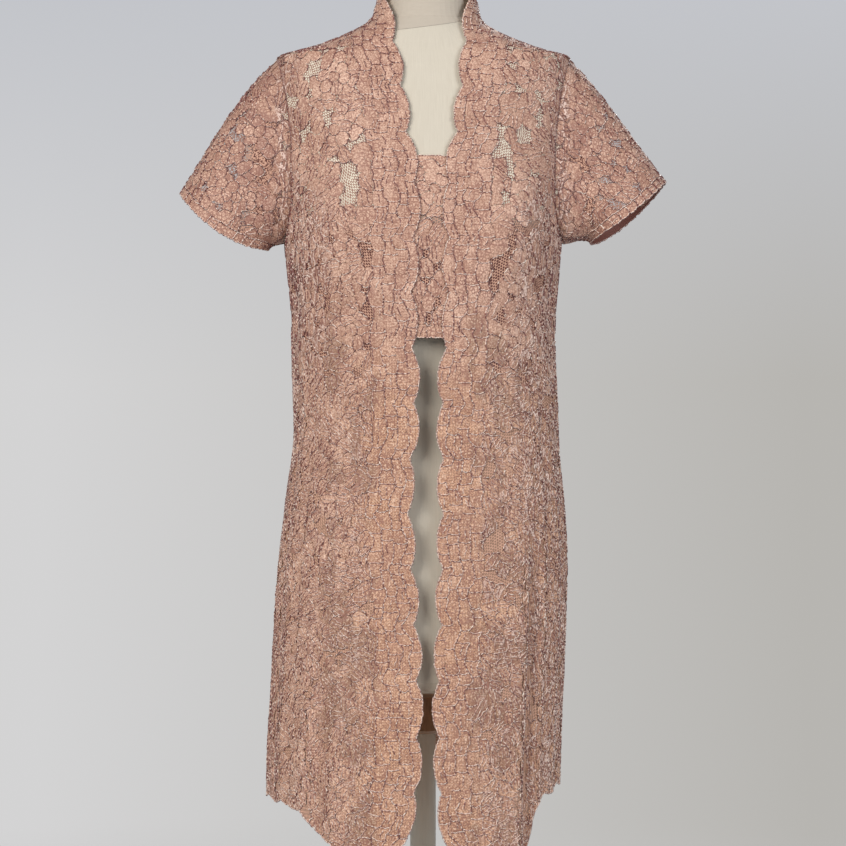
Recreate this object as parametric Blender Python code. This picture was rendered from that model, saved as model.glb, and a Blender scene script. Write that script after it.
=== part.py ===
"""Long kebaya blouse of corded lace, worn by a limbless dress form on a pole and a round base.

Metres, +Z up. The front faces -Y, the wearer's left is at +X, and the origin lies on the floor
under the middle of the base plate.

Each cloth piece is a wall between an outer grid of points and the same points moved in by the
cloth's thickness. The body pieces share one surface of horizontal rings, so they meet at seams.
"""

import math
from bisect import bisect_right
from collections import namedtuple

import bmesh
import bpy
from mathutils import Vector

# Cloth and seams. The centre panel keeps its gap under the fronts where their facets differ.
CLOTH = 0.0015
SEAM_GAP = 0.0003
PANEL_GAP = 0.0006
RING_SQUARENESS = 2.25

# Mesh density. A front's columns are shares of its width, closer at its largest fold.
FRONT_COLUMNS = (0, 0.08, 0.20, 0.33, 0.41, 0.49, 0.57, 0.74, 1)
BACK_COLUMNS = 12
PANEL_COLUMNS = 5
SHOULDER_ROWS = 6
FRONT_STAND_ROWS = 5
COLLAR_ROWS = 3
SLEEVE_RINGS = 5
LEAST_ROW = 0.004

# Heights
NECK_SEAM = 1.4195
STAND_TOP = 1.466
SHOULDER_TIP = 1.378
ARMPIT = 1.150
PANEL_TOP = 1.2454
PANEL_BOTTOM = 1.027
PANEL_SIDES = (-0.034, 0.052)
HEM_ZONE = 0.50
LOWEST_HEM = 0.380

# Scalloped front edges: the lobes keep one pitch along the cloth, so they look shorter in height
# where the chest slopes back, above the centre panel.
SCALLOP_PITCH = 0.066
SCALLOP_DEPTH = 0.0085
LOBE_ROUNDNESS = 0.8
LOWEST_TIP = 0.4534
SLOPED_PITCH = 0.0574
ROWS_PER_SCALLOP = 4

# Form and stand
FORM_BOTTOM = 0.600
FORM_BODY_LEVELS = (0.64, 1.36, 18)
FORM_SHOULDER_LEVELS = (1.368, 1.376, 1.382, 1.388, 1.393, 1.400, 1.408, 1.4155)
FORM_NECK_LEVELS = (1.424, 1.432, 1.445, 1.465, 1.490)
TURNED_SIDES = 48
NECK_PLANE_POINT = Vector((0.0055, 0, 1.4245))
NECK_PLANE_NORMAL = Vector((-0.118, -0.26, 1)).normalized()
POLE_RADIUS = 0.016
POLE_SIDES = 24

# Outlines of the turned pieces, bottom to top, with heights above each piece's own foot
Turn = namedtuple("Turn", "radius height")
NECK_CAP = (
    Turn(0.044, 0),
    Turn(0.048, 0.003),
    Turn(0.046, 0.008),
    Turn(0.026, 0.013),
    Turn(0.006, 0.0145),
)
POLE_SOCKET = (
    Turn(0.021, 0),
    Turn(0.024, 0.004),
    Turn(0.026, 0.046),
    Turn(0.050, 0.054),
    Turn(0.050, 0.060),
)
BASE = (
    Turn(0.178, 0),
    Turn(0.180, 0.003),
    Turn(0.180, 0.012),
    Turn(0.174, 0.016),
    Turn(0.034, 0.018),
    Turn(0.026, 0.026),
    Turn(0.024, 0.047),
    Turn(0.022, 0.050),
)

# Rings of the blouse's outer surface
Ring = namedtuple("Ring", "height half_width front_depth back_depth centre_x")
RINGS = (
    Ring(0.380, 0.1825, 0.136, 0.124, -0.0125),
    Ring(0.480, 0.1820, 0.134, 0.122, -0.0120),
    Ring(0.614, 0.1815, 0.129, 0.118, -0.0065),
    Ring(0.734, 0.1797, 0.124, 0.113, -0.0015),
    Ring(0.824, 0.1730, 0.119, 0.107, 0.0020),
    Ring(0.914, 0.1640, 0.115, 0.100, 0.0035),
    Ring(1.041, 0.1640, 0.117, 0.099, 0.0000),
    Ring(1.150, 0.1720, 0.121, 0.104, 0.0000),
    Ring(1.260, 0.1780, 0.108, 0.109, 0.0000),
    Ring(1.340, 0.1860, 0.092, 0.100, 0.0000),
    Ring(1.378, 0.1830, 0.079, 0.090, 0.0000),
    Ring(1.3895, 0.1448, 0.074, 0.083, 0.0005),
    Ring(1.4125, 0.0880, 0.065, 0.070, 0.0020),
    Ring(1.423, 0.0725, 0.061, 0.066, 0.0035),
    Ring(1.440, 0.0645, 0.058, 0.063, 0.0045),
    Ring(1.466, 0.0600, 0.056, 0.061, 0.0050),
)

# How far the form lies inside the blouse, at the side, front and back. Its foot is rounded, so the
# first two rings are pulled in.
FORM_FOOT = ((0.0, 0.010), (0.004, 0.003), (0.014, 0.0))
Ease = namedtuple("Ease", "height side front back")
EASES = (
    Ease(0.600, 0.0250, 0.0220, 0.0180),
    Ease(0.720, 0.0170, 0.0180, 0.0190),
    Ease(0.820, 0.0250, 0.0210, 0.0170),
    Ease(0.950, 0.0440, 0.0270, 0.0150),
    Ease(1.080, 0.0280, 0.0200, 0.0100),
    Ease(1.170, 0.0200, 0.0060, 0.0070),
    Ease(1.260, 0.0190, 0.0045, 0.0045),
    Ease(1.330, 0.0160, 0.0040, 0.0040),
    Ease(1.374, 0.0130, 0.0045, 0.0045),
    Ease(1.3895, 0.0100, 0.0045, 0.0045),
    Ease(1.4125, 0.0125, 0.0060, 0.0060),
    Ease(1.423, 0.0150, 0.0080, 0.0080),
    Ease(1.440, 0.0120, 0.0070, 0.0080),
    Ease(1.490, 0.0090, 0.0060, 0.0070),
)

# Middle line of each scalloped front edge
Edge = namedtuple("Edge", "height right_x left_x")
EDGES = (
    Edge(0.370, -0.0300, 0.0340),
    Edge(0.425, -0.0205, 0.0265),
    Edge(0.500, -0.0065, 0.0175),
    Edge(0.590, -0.0040, 0.0155),
    Edge(0.700, -0.0085, 0.0190),
    Edge(0.830, -0.0150, 0.0210),
    Edge(0.950, -0.0075, 0.0205),
    Edge(1.060, -0.0110, 0.0275),
    Edge(1.200, -0.0070, 0.0280),
    Edge(1.290, -0.0190, 0.0400),
    Edge(1.350, -0.0270, 0.0465),
    Edge(1.400, -0.0360, 0.0510),
    Edge(1.453, -0.0460, 0.0560),
    Edge(1.460, -0.0500, 0.0600),
    Edge(1.466, -0.0543, 0.0643),
)

# Hem height round the body, from the front edge (0 degrees) by the side seam (90) to the back
Hem = namedtuple("Hem", "angle right_height left_height")
HEMS = (
    Hem(0, 0.383, 0.380),
    Hem(15, 0.395, 0.383),
    Hem(25, 0.411, 0.387),
    Hem(36, 0.434, 0.396),
    Hem(43, 0.454, 0.403),
    Hem(49, 0.462, 0.412),
    Hem(54, 0.465, 0.466),
    Hem(64, 0.466, 0.476),
    Hem(90, 0.469, 0.484),
    Hem(180, 0.460, 0.460),
)

# Where the armhole seam cuts the body rings
Armhole = namedtuple("Armhole", "height front_x back_x")
ARMHOLES = (
    Armhole(1.150, 0.1720, 0.1720),
    Armhole(1.166, 0.1665, 0.1675),
    Armhole(1.200, 0.1620, 0.1640),
    Armhole(1.260, 0.1620, 0.1650),
    Armhole(1.320, 0.1680, 0.1700),
    Armhole(1.360, 0.1765, 0.1775),
    Armhole(1.378, 0.1830, 0.1830),
)

# Soft ridges (depth above 0) and troughs of the cloth; the angle is positive at the wearer's left
FOLD_TOP_FADE = 0.12
FOLD_FOOT_FADE = 0.06
Fold = namedtuple("Fold", "angle half_angle depth low high")
FOLDS = (
    Fold(41, 8, 0.004, 0.30, 0.80),
    Fold(48, 7, -0.010, 0.30, 0.82),
    Fold(-36, 7, -0.007, 0.30, 0.66),
    Fold(-44, 7, 0.003, 0.30, 0.70),
    Fold(74, 11, -0.006, 1.00, 1.17),
    Fold(-74, 11, -0.006, 1.00, 1.17),
    Fold(146, 16, -0.009, 0.30, 0.90),
    Fold(172, 13, 0.006, 0.30, 0.85),
    Fold(206, 17, -0.010, 0.30, 0.96),
    Fold(238, 14, 0.005, 0.30, 0.80),
)

# The fullness of the chest, in the form and in the blouse over it
CHEST_ANGLE = 38
CHEST_HALF_ANGLE = 30
CHEST_HEIGHT = 1.165
CHEST_HALF_HEIGHT = 0.105
CHEST_DEPTH = 0.010

# Cuffs: the ends of the ring at the top and at the underarm, its reach to the front, how much
# higher the front lies than the back, how far both sag below the line of the ends, and how much
# the sleeve head rounds out before it falls along the arm
HEAD_RISE = 0.25
Cuff = namedtuple("Cuff", "side top_x top_z under_x under_z half_depth front_lift sag head")
CUFFS = {
    "sleeve_right": Cuff(-1, 0.3025, 1.2120, 0.1930, 1.1410, 0.062, -0.0055, 0.0135, 0.30),
    "sleeve_left": Cuff(1, 0.3025, 1.2245, 0.2090, 1.1500, 0.062, 0.0040, 0.0080, 0.12),
}


def smooth_curve(places, values):
    """A function through the table's points with no overshoot, level past both ends."""
    steps = [b - a for a, b in zip(places, places[1:])]
    slopes = [(b - a) / step for a, b, step in zip(values, values[1:], steps)]
    tangents = [slopes[0]]
    for before, after in zip(slopes, slopes[1:]):
        turns = before * after <= 0
        tangents.append(0 if turns else 2 * before * after / (before + after))
    tangents.append(slopes[-1])

    def value(place):
        place = min(max(place, places[0]), places[-1])
        i = min(bisect_right(places, place), len(steps)) - 1
        step = steps[i]
        t = (place - places[i]) / step
        rest = 1 - t
        ends = values[i] * rest * rest * (1 + 2 * t) + values[i + 1] * t * t * (3 - 2 * t)
        return ends + step * t * rest * (tangents[i] * rest - tangents[i + 1] * t)

    return value


def columns(table):
    """One smooth curve for each column of a table after its first."""
    places = [row[0] for row in table]
    names = table[0]._fields[1:]
    return {name: smooth_curve(places, [getattr(row, name) for row in table]) for name in names}


RING = columns(RINGS)
EASE = columns(EASES)
EDGE = columns(EDGES)
HEM = columns(HEMS)
ARMHOLE = columns(ARMHOLES)


def signed_power(value, power):
    return math.copysign(abs(value) ** power, value)


def soft_bump(distance):
    """1 at 0, falling smoothly to 0 at a distance of 1."""
    return math.cos(math.pi / 2 * distance) ** 2 if abs(distance) < 1 else 0.0


def soft_step(value):
    value = min(max(value, 0.0), 1.0)
    return value * value * (3 - 2 * value)


def evenly(low, high, steps):
    return [low + (high - low) * i / steps for i in range(steps + 1)]


def angle_between(a, b):
    return (a - b + 180) % 360 - 180


def chest_fullness(angle, height):
    rise = soft_bump((height - CHEST_HEIGHT) / CHEST_HALF_HEIGHT)
    sides = (soft_bump((angle - side * CHEST_ANGLE) / CHEST_HALF_ANGLE) for side in (-1, 1))
    return CHEST_DEPTH * rise * sum(sides)


def fold_depth(angle, height):
    depth = 0.0
    for fold in FOLDS:
        across = soft_bump(angle_between(angle, fold.angle) / fold.half_angle)
        above = soft_step((fold.high - height) / FOLD_TOP_FADE)
        below = soft_step((height - fold.low) / FOLD_FOOT_FADE)
        depth += fold.depth * across * above * below
    return depth


def on_ring(angle, half_width, depths, centre_x, height, moved_out):
    """A point of a squared ellipse at an angle from the front, then moved straight out."""
    turn = math.radians(angle)
    power = 2 / RING_SQUARENESS
    across = signed_power(math.sin(turn), power)
    ahead = signed_power(math.cos(turn), power)
    depth = depths[0] if ahead > 0 else depths[1]
    x = centre_x + half_width * across + moved_out * math.sin(turn)
    y = -depth * ahead - moved_out * math.cos(turn)
    return Vector((x, y, height))


def blouse_point(angle, height):
    depths = RING["front_depth"](height), RING["back_depth"](height)
    moved = chest_fullness(angle_between(angle, 0), height) + fold_depth(angle, height)
    return on_ring(angle, RING["half_width"](height), depths, RING["centre_x"](height), height, moved)


def form_point(angle, height):
    front = RING["front_depth"](height) - EASE["front"](height)
    back = RING["back_depth"](height) - EASE["back"](height)
    half_width = RING["half_width"](height) - EASE["side"](height)
    moved = chest_fullness(angle_between(angle, 0), height)
    return on_ring(angle, half_width, (front, back), RING["centre_x"](height), height, moved)


def angle_at(x, height):
    """The ring's angle where its front or back passes x, measured from the front at x's side."""
    across = (x - RING["centre_x"](height)) / RING["half_width"](height)
    across = min(max(across, -1), 1)
    return math.degrees(math.asin(signed_power(across, RING_SQUARENESS / 2)))


def outward(surface, a, b, step_a, step_b):
    """The unit normal of surface(a, b), from central differences."""
    along_a = surface(a + step_a, b) - surface(a - step_a, b)
    along_b = surface(a, b + step_b) - surface(a, b - step_b)
    return along_a.cross(along_b).normalized()


def blouse_normal(angle, height):
    return outward(blouse_point, angle, height, 0.5, 0.0005)


def seam_angle(height):
    """Half the seam gap as an angle, beside the side and shoulder seams."""
    step = (blouse_point(90.5, height) - blouse_point(89.5, height)).length
    return 0.5 * SEAM_GAP / step


# Scallops
def scallop_phase(height):
    if height <= PANEL_TOP:
        return (height - LOWEST_TIP) / SCALLOP_PITCH
    return (PANEL_TOP - LOWEST_TIP) / SCALLOP_PITCH + (height - PANEL_TOP) / SLOPED_PITCH


def scallop_height(phase):
    panel_phase = scallop_phase(PANEL_TOP)
    if phase <= panel_phase:
        return LOWEST_TIP + phase * SCALLOP_PITCH
    return PANEL_TOP + (phase - panel_phase) * SLOPED_PITCH


def scallop(height):
    """From 1 at a lobe's tip to -1 in a notch."""
    return 2 * abs(math.cos(math.pi * scallop_phase(height))) ** LOBE_ROUNDNESS - 1


def front_rows():
    """Heights of a front's rows: quarter lobes, then closer rows over the shoulder and stand."""
    first = math.ceil(scallop_phase(LOWEST_HEM) * ROWS_PER_SCALLOP)
    last = math.floor(scallop_phase(SHOULDER_TIP - LEAST_ROW) * ROWS_PER_SCALLOP)
    quarters = [scallop_height(i / ROWS_PER_SCALLOP) for i in range(first, last + 1)]
    below_armpit = [z for z in quarters if z < ARMPIT - LEAST_ROW]
    above_armpit = [z for z in quarters if z > ARMPIT + LEAST_ROW]
    shoulder = evenly(SHOULDER_TIP, NECK_SEAM, SHOULDER_ROWS)
    stand = evenly(NECK_SEAM, STAND_TOP, FRONT_STAND_ROWS)[1:]
    return [LOWEST_HEM] + below_armpit + [ARMPIT] + above_armpit + shoulder + stand


def hem_row(height, angle, side):
    """Rows under the hem zone are squeezed, so that the lowest one follows the hem."""
    if height >= HEM_ZONE:
        return height
    hem = HEM["left_height" if side > 0 else "right_height"](abs(angle))
    return HEM_ZONE - (HEM_ZONE - hem) * (HEM_ZONE - height) / (HEM_ZONE - LOWEST_HEM)


# Meshes
def material(name, colour, roughness):
    made = bpy.data.materials.new(name)
    made.use_nodes = True
    shader = made.node_tree.nodes["Principled BSDF"]
    shader.inputs["Base Color"].default_value = (*colour, 1)
    shader.inputs["Roughness"].default_value = roughness
    return made


def add_object(name, shape, surface):
    """Turns the bmesh into an object, with its faces pointing out."""
    bmesh.ops.recalc_face_normals(shape, faces=shape.faces)
    mesh = bpy.data.meshes.new(name)
    shape.to_mesh(mesh)
    shape.free()
    mesh.shade_smooth()
    mesh.set_sharp_from_angle(angle=math.radians(40))
    mesh.materials.append(surface)
    made = bpy.data.objects.new(name, mesh)
    bpy.context.scene.collection.objects.link(made)
    return made


def add_wall(name, outer, inner, surface, tube=False):
    """Closes the space between two like grids of points: rows of columns, joined round in a tube."""
    shape = bmesh.new()
    skins = [[[shape.verts.new(point) for point in row] for row in grid] for grid in (outer, inner)]
    rows, count = len(outer), len(outer[0])
    around = range(count) if tube else range(count - 1)
    for grid in skins:
        for low, high in zip(grid, grid[1:]):
            for i in around:
                j = (i + 1) % count
                shape.faces.new((low[i], low[j], high[j], high[i]))
    out, into = skins
    for r in (0, rows - 1):
        for i in around:
            j = (i + 1) % count
            shape.faces.new((out[r][i], out[r][j], into[r][j], into[r][i]))
    if not tube:
        for i in (0, count - 1):
            for r in range(rows - 1):
                shape.faces.new((out[r][i], out[r + 1][i], into[r + 1][i], into[r][i]))
    return add_object(name, shape, surface)


def add_loft(name, rings, surface):
    """A closed solid through closed rings of points, with flat ends."""
    shape = bmesh.new()
    made = [[shape.verts.new(point) for point in ring] for ring in rings]
    for low, high in zip(made, made[1:]):
        for i in range(len(low)):
            j = (i + 1) % len(low)
            shape.faces.new((low[i], low[j], high[j], high[i]))
    shape.faces.new(made[0])
    shape.faces.new(made[-1])
    return add_object(name, shape, surface)


def add_turned(name, profile, foot, surface, sides=TURNED_SIDES, centre_x=0.0):
    """A turned solid whose outline stands on the height of its foot."""
    rings = []
    for turn in profile:
        ring = []
        for i in range(sides):
            angle = 2 * math.pi * i / sides
            x = centre_x + turn.radius * math.cos(angle)
            ring.append(Vector((x, turn.radius * math.sin(angle), foot + turn.height)))
        rings.append(ring)
    return add_loft(name, rings, surface)


def body_wall(name, grid, surface, inset=0.0):
    """A wall on the blouse's surface; grid holds rows of (angle, height)."""
    outer, inner = [], []
    for row in grid:
        points = [blouse_point(*place) for place in row]
        normals = [blouse_normal(*place) for place in row]
        outer.append([p - n * inset for p, n in zip(points, normals)])
        inner.append([p - n * (inset + CLOTH) for p, n in zip(points, normals)])
    return add_wall(name, outer, inner, surface)


# Cloth pieces
def add_front(name, side, surface):
    """From the scalloped edge to the side seam, the armhole, the shoulder seam and the collar."""
    grid = []
    for height in front_rows():
        edge_x = EDGE["left_x" if side > 0 else "right_x"](height)
        edge_x -= side * SCALLOP_DEPTH / 2 * scallop(height)
        inner_edge = side * angle_at(edge_x, height)
        outer_edge = 90 - seam_angle(height)
        if ARMPIT < height < SHOULDER_TIP:
            centre = RING["centre_x"](height)
            outer_edge = min(outer_edge, angle_at(centre + ARMHOLE["front_x"](height), height))
        row = []
        for share in FRONT_COLUMNS:
            angle = inner_edge + share * (outer_edge - inner_edge)
            row.append((side * angle, hem_row(height, angle, side)))
        grid.append(row)
    return body_wall(name, grid, surface)


def back_rows():
    """The front's rows, every second one below the armpit, up to the neck seam."""
    below = [z for z in front_rows() if z < ARMPIT]
    above = [z for z in front_rows() if ARMPIT <= z < NECK_SEAM]
    return below[::2] + above + [NECK_SEAM]


def add_back(name, surface):
    grid = []
    for height in back_rows():
        edge = 90 + seam_angle(height)
        if ARMPIT < height < SHOULDER_TIP:
            centre = RING["centre_x"](height)
            edge = max(edge, 180 - angle_at(centre + ARMHOLE["back_x"](height), height))
        row = []
        for angle in evenly(edge, 360 - edge, BACK_COLUMNS):
            side = 1 if angle < 180 else -1
            row.append((angle, hem_row(height, 180 - abs(180 - angle), side)))
        grid.append(row)
    return body_wall(name, grid, surface)


def add_collar(name, surface):
    """The back part of the neck stand, between the shoulder seams."""
    grid = []
    for height in evenly(NECK_SEAM + SEAM_GAP, STAND_TOP, COLLAR_ROWS):
        edge = 90 + seam_angle(height)
        grid.append([(angle, height) for angle in evenly(edge, 360 - edge, BACK_COLUMNS)])
    return body_wall(name, grid, surface)


def add_centre_panel(name, surface):
    """Lies under both front borders, on the same rows."""
    between = [z for z in front_rows() if PANEL_BOTTOM + LEAST_ROW < z < PANEL_TOP - LEAST_ROW]
    right, left = PANEL_SIDES
    grid = []
    for height in [PANEL_BOTTOM, *between, PANEL_TOP]:
        angles = evenly(angle_at(right, height), angle_at(left, height), PANEL_COLUMNS)
        grid.append([(angle, height) for angle in angles])
    return body_wall(name, grid, surface, inset=CLOTH + PANEL_GAP)


def armhole_loop(side):
    """(angle, height) round one armhole: down its front from the shoulder tip, then up its back."""
    heights = [z for z in front_rows() if ARMPIT < z < SHOULDER_TIP]
    front, back = [], []
    for height in heights:
        centre = RING["centre_x"](height)
        front.append((side * angle_at(centre + ARMHOLE["front_x"](height), height), height))
        back.append((side * (180 - angle_at(centre + ARMHOLE["back_x"](height), height)), height))
    return [(side * 90, SHOULDER_TIP)] + front[::-1] + [(side * 90, ARMPIT)] + back


def seam_step(loop, starts, i):
    """The direction along the body's surface from its armhole edge into the hole."""
    edge = starts[(i + 1) % len(starts)] - starts[i - 1]
    step = blouse_normal(*loop[i]).cross(edge).normalized()
    middle = sum(starts, Vector()) / len(starts)
    return step if step.dot(middle - starts[i]) > 0 else -step


def add_sleeve(name, surface):
    cuff = CUFFS[name]
    side = cuff.side
    loop = armhole_loop(side)
    starts = [blouse_point(*place) for place in loop]
    half = len(loop) // 2
    spans = [(b - a).length for a, b in zip(starts, starts[1:] + starts[:1])]
    down, up = sum(spans[:half]), sum(spans[half:])
    turns = [0.0]
    for i, span in enumerate(spans):
        turns.append(turns[-1] + math.pi * span / (down if i < half else up))
    top = Vector((side * cuff.top_x, 0, cuff.top_z))
    under = Vector((side * cuff.under_x, 0, cuff.under_z))
    axis = Vector((side * (top.z - under.z), 0, -abs(top.x - under.x))).normalized()
    leave = (axis + cuff.head * Vector((side, 0, HEAD_RISE))).normalized()

    def cuff_point(turn):
        ahead = Vector((0, -cuff.half_depth, cuff.front_lift))
        drop = Vector((0, 0, -cuff.sag * math.sin(turn) ** 2))
        return (top + under) / 2 + (top - under) / 2 * math.cos(turn) + ahead * math.sin(turn) + drop

    def sleeve_point(column, along):
        """A cubic from the armhole, leaving outwards, to the cuff, arriving along the sleeve."""
        i = math.floor(column) % len(loop)
        part = column - math.floor(column)
        turn = turns[i] * (1 - part) + turns[i + 1] * part
        start = starts[i].lerp(starts[(i + 1) % len(loop)], part)
        end = cuff_point(turn)
        length = (end - start).length
        rest = 1 - along
        point = start * rest * rest * (1 + 2 * along) + end * along * along * (3 - 2 * along)
        return point + length * along * rest * (leave * rest - axis * along)

    outer, inner = [], []
    for r in range(SLEEVE_RINGS + 1):
        along = r / SLEEVE_RINGS
        points, insides = [], []
        for i, place in enumerate(loop):
            point = sleeve_point(i, along)
            normal = outward(sleeve_point, i, along, 0.25, 0.01) * side
            if r == 0:
                point = point + seam_step(loop, starts, i) * SEAM_GAP
            points.append(point)
            insides.append(point - normal * CLOTH)
        outer.append(points)
        inner.append(insides)
    return add_wall(name, outer, inner, surface, tube=True)


# Form and stand
def form_ring(height, pulled_in=0.0):
    ring = []
    for i in range(TURNED_SIDES):
        angle = 360 * i / TURNED_SIDES
        turn = math.radians(angle)
        inward = Vector((-math.sin(turn), math.cos(turn), 0))
        ring.append(form_point(angle, height) + inward * pulled_in)
    return ring


def form_rings():
    foot = [form_ring(FORM_BOTTOM + rise, pulled_in) for rise, pulled_in in FORM_FOOT]
    levels = (*evenly(*FORM_BODY_LEVELS), *FORM_SHOULDER_LEVELS, *FORM_NECK_LEVELS)
    return foot + [form_ring(height) for height in levels]


def add_form_piece(name, rings, surface, above):
    """The part of the form above or below the slanted seam of its neck."""
    made = add_loft(name, rings, surface)
    shape = bmesh.new()
    shape.from_mesh(made.data)
    toward = 1 if above else -1
    cut = bmesh.ops.bisect_plane(
        shape,
        geom=shape.verts[:] + shape.edges[:] + shape.faces[:],
        plane_co=NECK_PLANE_POINT + NECK_PLANE_NORMAL * toward * SEAM_GAP / 2,
        plane_no=NECK_PLANE_NORMAL * -toward,
        clear_outer=True,
    )
    rim = [part for part in cut["geom_cut"] if isinstance(part, bmesh.types.BMEdge)]
    bmesh.ops.contextual_create(shape, geom=rim)
    bmesh.ops.recalc_face_normals(shape, faces=shape.faces)
    shape.to_mesh(made.data)
    shape.free()
    return made


def add_stand(wood, enamel):
    """The neck's cap, the socket under the torso, the pole and the base plate."""
    neck_top = FORM_NECK_LEVELS[-1]
    add_turned("neck_cap", NECK_CAP, neck_top + SEAM_GAP, wood, centre_x=RING["centre_x"](neck_top))
    socket_foot = FORM_BOTTOM - SEAM_GAP - POLE_SOCKET[-1].height
    add_turned("pole_socket", POLE_SOCKET, socket_foot, wood)
    add_turned("base", BASE, 0, enamel)
    pole_foot = BASE[-1].height + SEAM_GAP
    pole = (Turn(POLE_RADIUS, 0), Turn(POLE_RADIUS, socket_foot - SEAM_GAP - pole_foot))
    add_turned("pole", pole, pole_foot, enamel, sides=POLE_SIDES)


def main():
    for old in list(bpy.data.objects):
        bpy.data.objects.remove(old, do_unlink=True)
    lace = material("dusty_rose_lace", (0.58, 0.31, 0.23), 0.7)
    linen = material("cream_linen_cover", (0.72, 0.65, 0.54), 0.85)
    wood = material("turned_wood", (0.30, 0.17, 0.09), 0.45)
    enamel = material("ivory_enamel", (0.70, 0.65, 0.55), 0.35)

    add_back("back", lace)
    add_front("front_right", -1, lace)
    add_front("front_left", 1, lace)
    add_centre_panel("centre_panel", lace)
    add_collar("collar", lace)
    for name in CUFFS:
        add_sleeve(name, lace)
    rings = form_rings()
    add_form_piece("form_torso", rings, linen, above=False)
    add_form_piece("form_neck", rings, linen, above=True)
    add_stand(wood, enamel)


main()
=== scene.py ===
import math
import random

import bpy
import numpy as np
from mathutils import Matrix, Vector
from mathutils.kdtree import KDTree


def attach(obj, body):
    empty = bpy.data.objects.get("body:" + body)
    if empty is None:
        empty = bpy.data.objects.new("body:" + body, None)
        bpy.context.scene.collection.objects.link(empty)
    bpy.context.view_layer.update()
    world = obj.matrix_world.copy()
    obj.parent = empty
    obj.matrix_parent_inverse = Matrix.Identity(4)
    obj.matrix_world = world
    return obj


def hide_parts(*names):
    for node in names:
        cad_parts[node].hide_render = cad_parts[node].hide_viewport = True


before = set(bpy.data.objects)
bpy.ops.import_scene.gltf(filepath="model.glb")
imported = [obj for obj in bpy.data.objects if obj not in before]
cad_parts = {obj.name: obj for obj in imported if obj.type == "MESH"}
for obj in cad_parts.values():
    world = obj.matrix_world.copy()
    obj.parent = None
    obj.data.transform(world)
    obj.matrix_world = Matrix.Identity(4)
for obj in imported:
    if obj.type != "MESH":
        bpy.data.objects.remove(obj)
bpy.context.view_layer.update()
bpy.ops.object.select_all(action="DESELECT")
scene = bpy.context.scene
scene.view_settings.view_transform = "Standard"

view = {"distance": 2.6, "height": 0.925, "lens": 88.65}
eye = (0, -view["distance"], view["height"])
bpy.ops.object.camera_add(location=eye, rotation=(math.pi / 2, 0, 0))
camera = bpy.context.object
camera.data.lens = view["lens"]
scene.camera = camera
print("camera placed")


class Signal:
    # one output of a material's nodes; arithmetic on it adds Math nodes
    def __init__(self, finish, socket):
        self.finish = finish
        self.socket = socket

    def __add__(self, other):
        return self.finish.maths("ADD", self, other)

    def __sub__(self, other):
        return self.finish.maths("SUBTRACT", self, other)

    def __rsub__(self, other):
        return self.finish.maths("SUBTRACT", other, self)

    def __mul__(self, other):
        return self.finish.maths("MULTIPLY", self, other)

    __radd__ = __add__
    __rmul__ = __mul__


class Finish:
    # one material, with constants on its shader's sockets and patterns from nodes
    def __init__(self, name, **constants):
        self.material = bpy.data.materials.new(name)
        self.material.use_nodes = True
        self.nodes = self.material.node_tree.nodes
        self.links = self.material.node_tree.links
        self.shader = self.nodes["Principled BSDF"]
        for socket, value in constants.items():
            self.shader.inputs[socket.replace("_", " ")].default_value = value

    def node(self, kind, settings=None, inputs=None, output=0):
        made = self.nodes.new("ShaderNode" + kind)
        for name, value in (settings or {}).items():
            setattr(made, name, value)
        for place, value in (inputs or {}).items():
            self.feed(made.inputs[place], value)
        return Signal(self, made.outputs[output])

    def feed(self, socket, value):
        if isinstance(value, Signal):
            self.links.new(value.socket, socket)
        elif isinstance(value, tuple) and len(value) == 3 and socket.type == "RGBA":
            socket.default_value = (*value, 1)
        else:
            socket.default_value = value

    def maths(self, operation, *values):
        return self.node("Math", {"operation": operation}, dict(enumerate(values)))

    def blend(self, share, low, high):
        return self.node("Mix", {"data_type": "RGBA"}, {0: share, 6: low, 7: high}, 2)

    def spread(self, value, low, high, least=0.0, most=1.0):
        inputs = {"Value": value, "From Min": low, "From Max": high, "To Min": least, "To Max": most}
        return self.node("MapRange", {"interpolation_type": "SMOOTHSTEP"}, inputs)

    def noise(self, place, scale, detail=2.0):
        return self.node("TexNoise", {}, {"Vector": place, "Scale": scale, "Detail": detail})

    def here(self):
        return self.node("TexCoord", output="Object")

    def mapped(self, name):
        return self.node("UVMap", {"uv_map": name})

    def carried(self, name):
        return self.node("Attribute", {"attribute_name": name}, output="Fac")

    def vector(self, x, y, z):
        return self.node("CombineXYZ", {}, {0: x, 1: y, 2: z})

    def parts(self, vector):
        split = self.nodes.new("ShaderNodeSeparateXYZ")
        self.feed(split.inputs[0], vector)
        return [Signal(self, out) for out in split.outputs]

    def colour(self, value):
        self.feed(self.shader.inputs["Base Color"], value)

    def bump(self, height, strength, distance):
        inputs = {"Height": height, "Strength": strength, "Distance": distance}
        self.feed(self.shader.inputs["Normal"], self.node("Bump", {}, inputs))


def smoothCurve(places, values):
    # through the table's points with no overshoot, level past both ends
    places, values = np.array(places, float), np.array(values, float)
    steps = np.diff(places)
    slopes = np.diff(values) / steps
    before, after = slopes[:-1], slopes[1:]
    total = np.where(before * after > 0, before + after, 1)
    inner = np.where(before * after > 0, 2 * before * after / total, 0)
    tangents = np.concatenate([slopes[:1], inner, slopes[-1:]])

    def value(place):
        place = np.clip(place, places[0], places[-1])
        i = np.clip(np.searchsorted(places, place, side="right") - 1, 0, len(steps) - 1)
        t = (place - places[i]) / steps[i]
        rest = 1 - t
        ends = values[i] * rest * rest * (1 + 2 * t) + values[i + 1] * t * t * (3 - 2 * t)
        return ends + steps[i] * t * rest * (tangents[i] * rest - tangents[i + 1] * t)

    return value


def tableCurves(rows):
    places, *others = zip(*rows)
    return [smoothCurve(places, column) for column in others]


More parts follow.
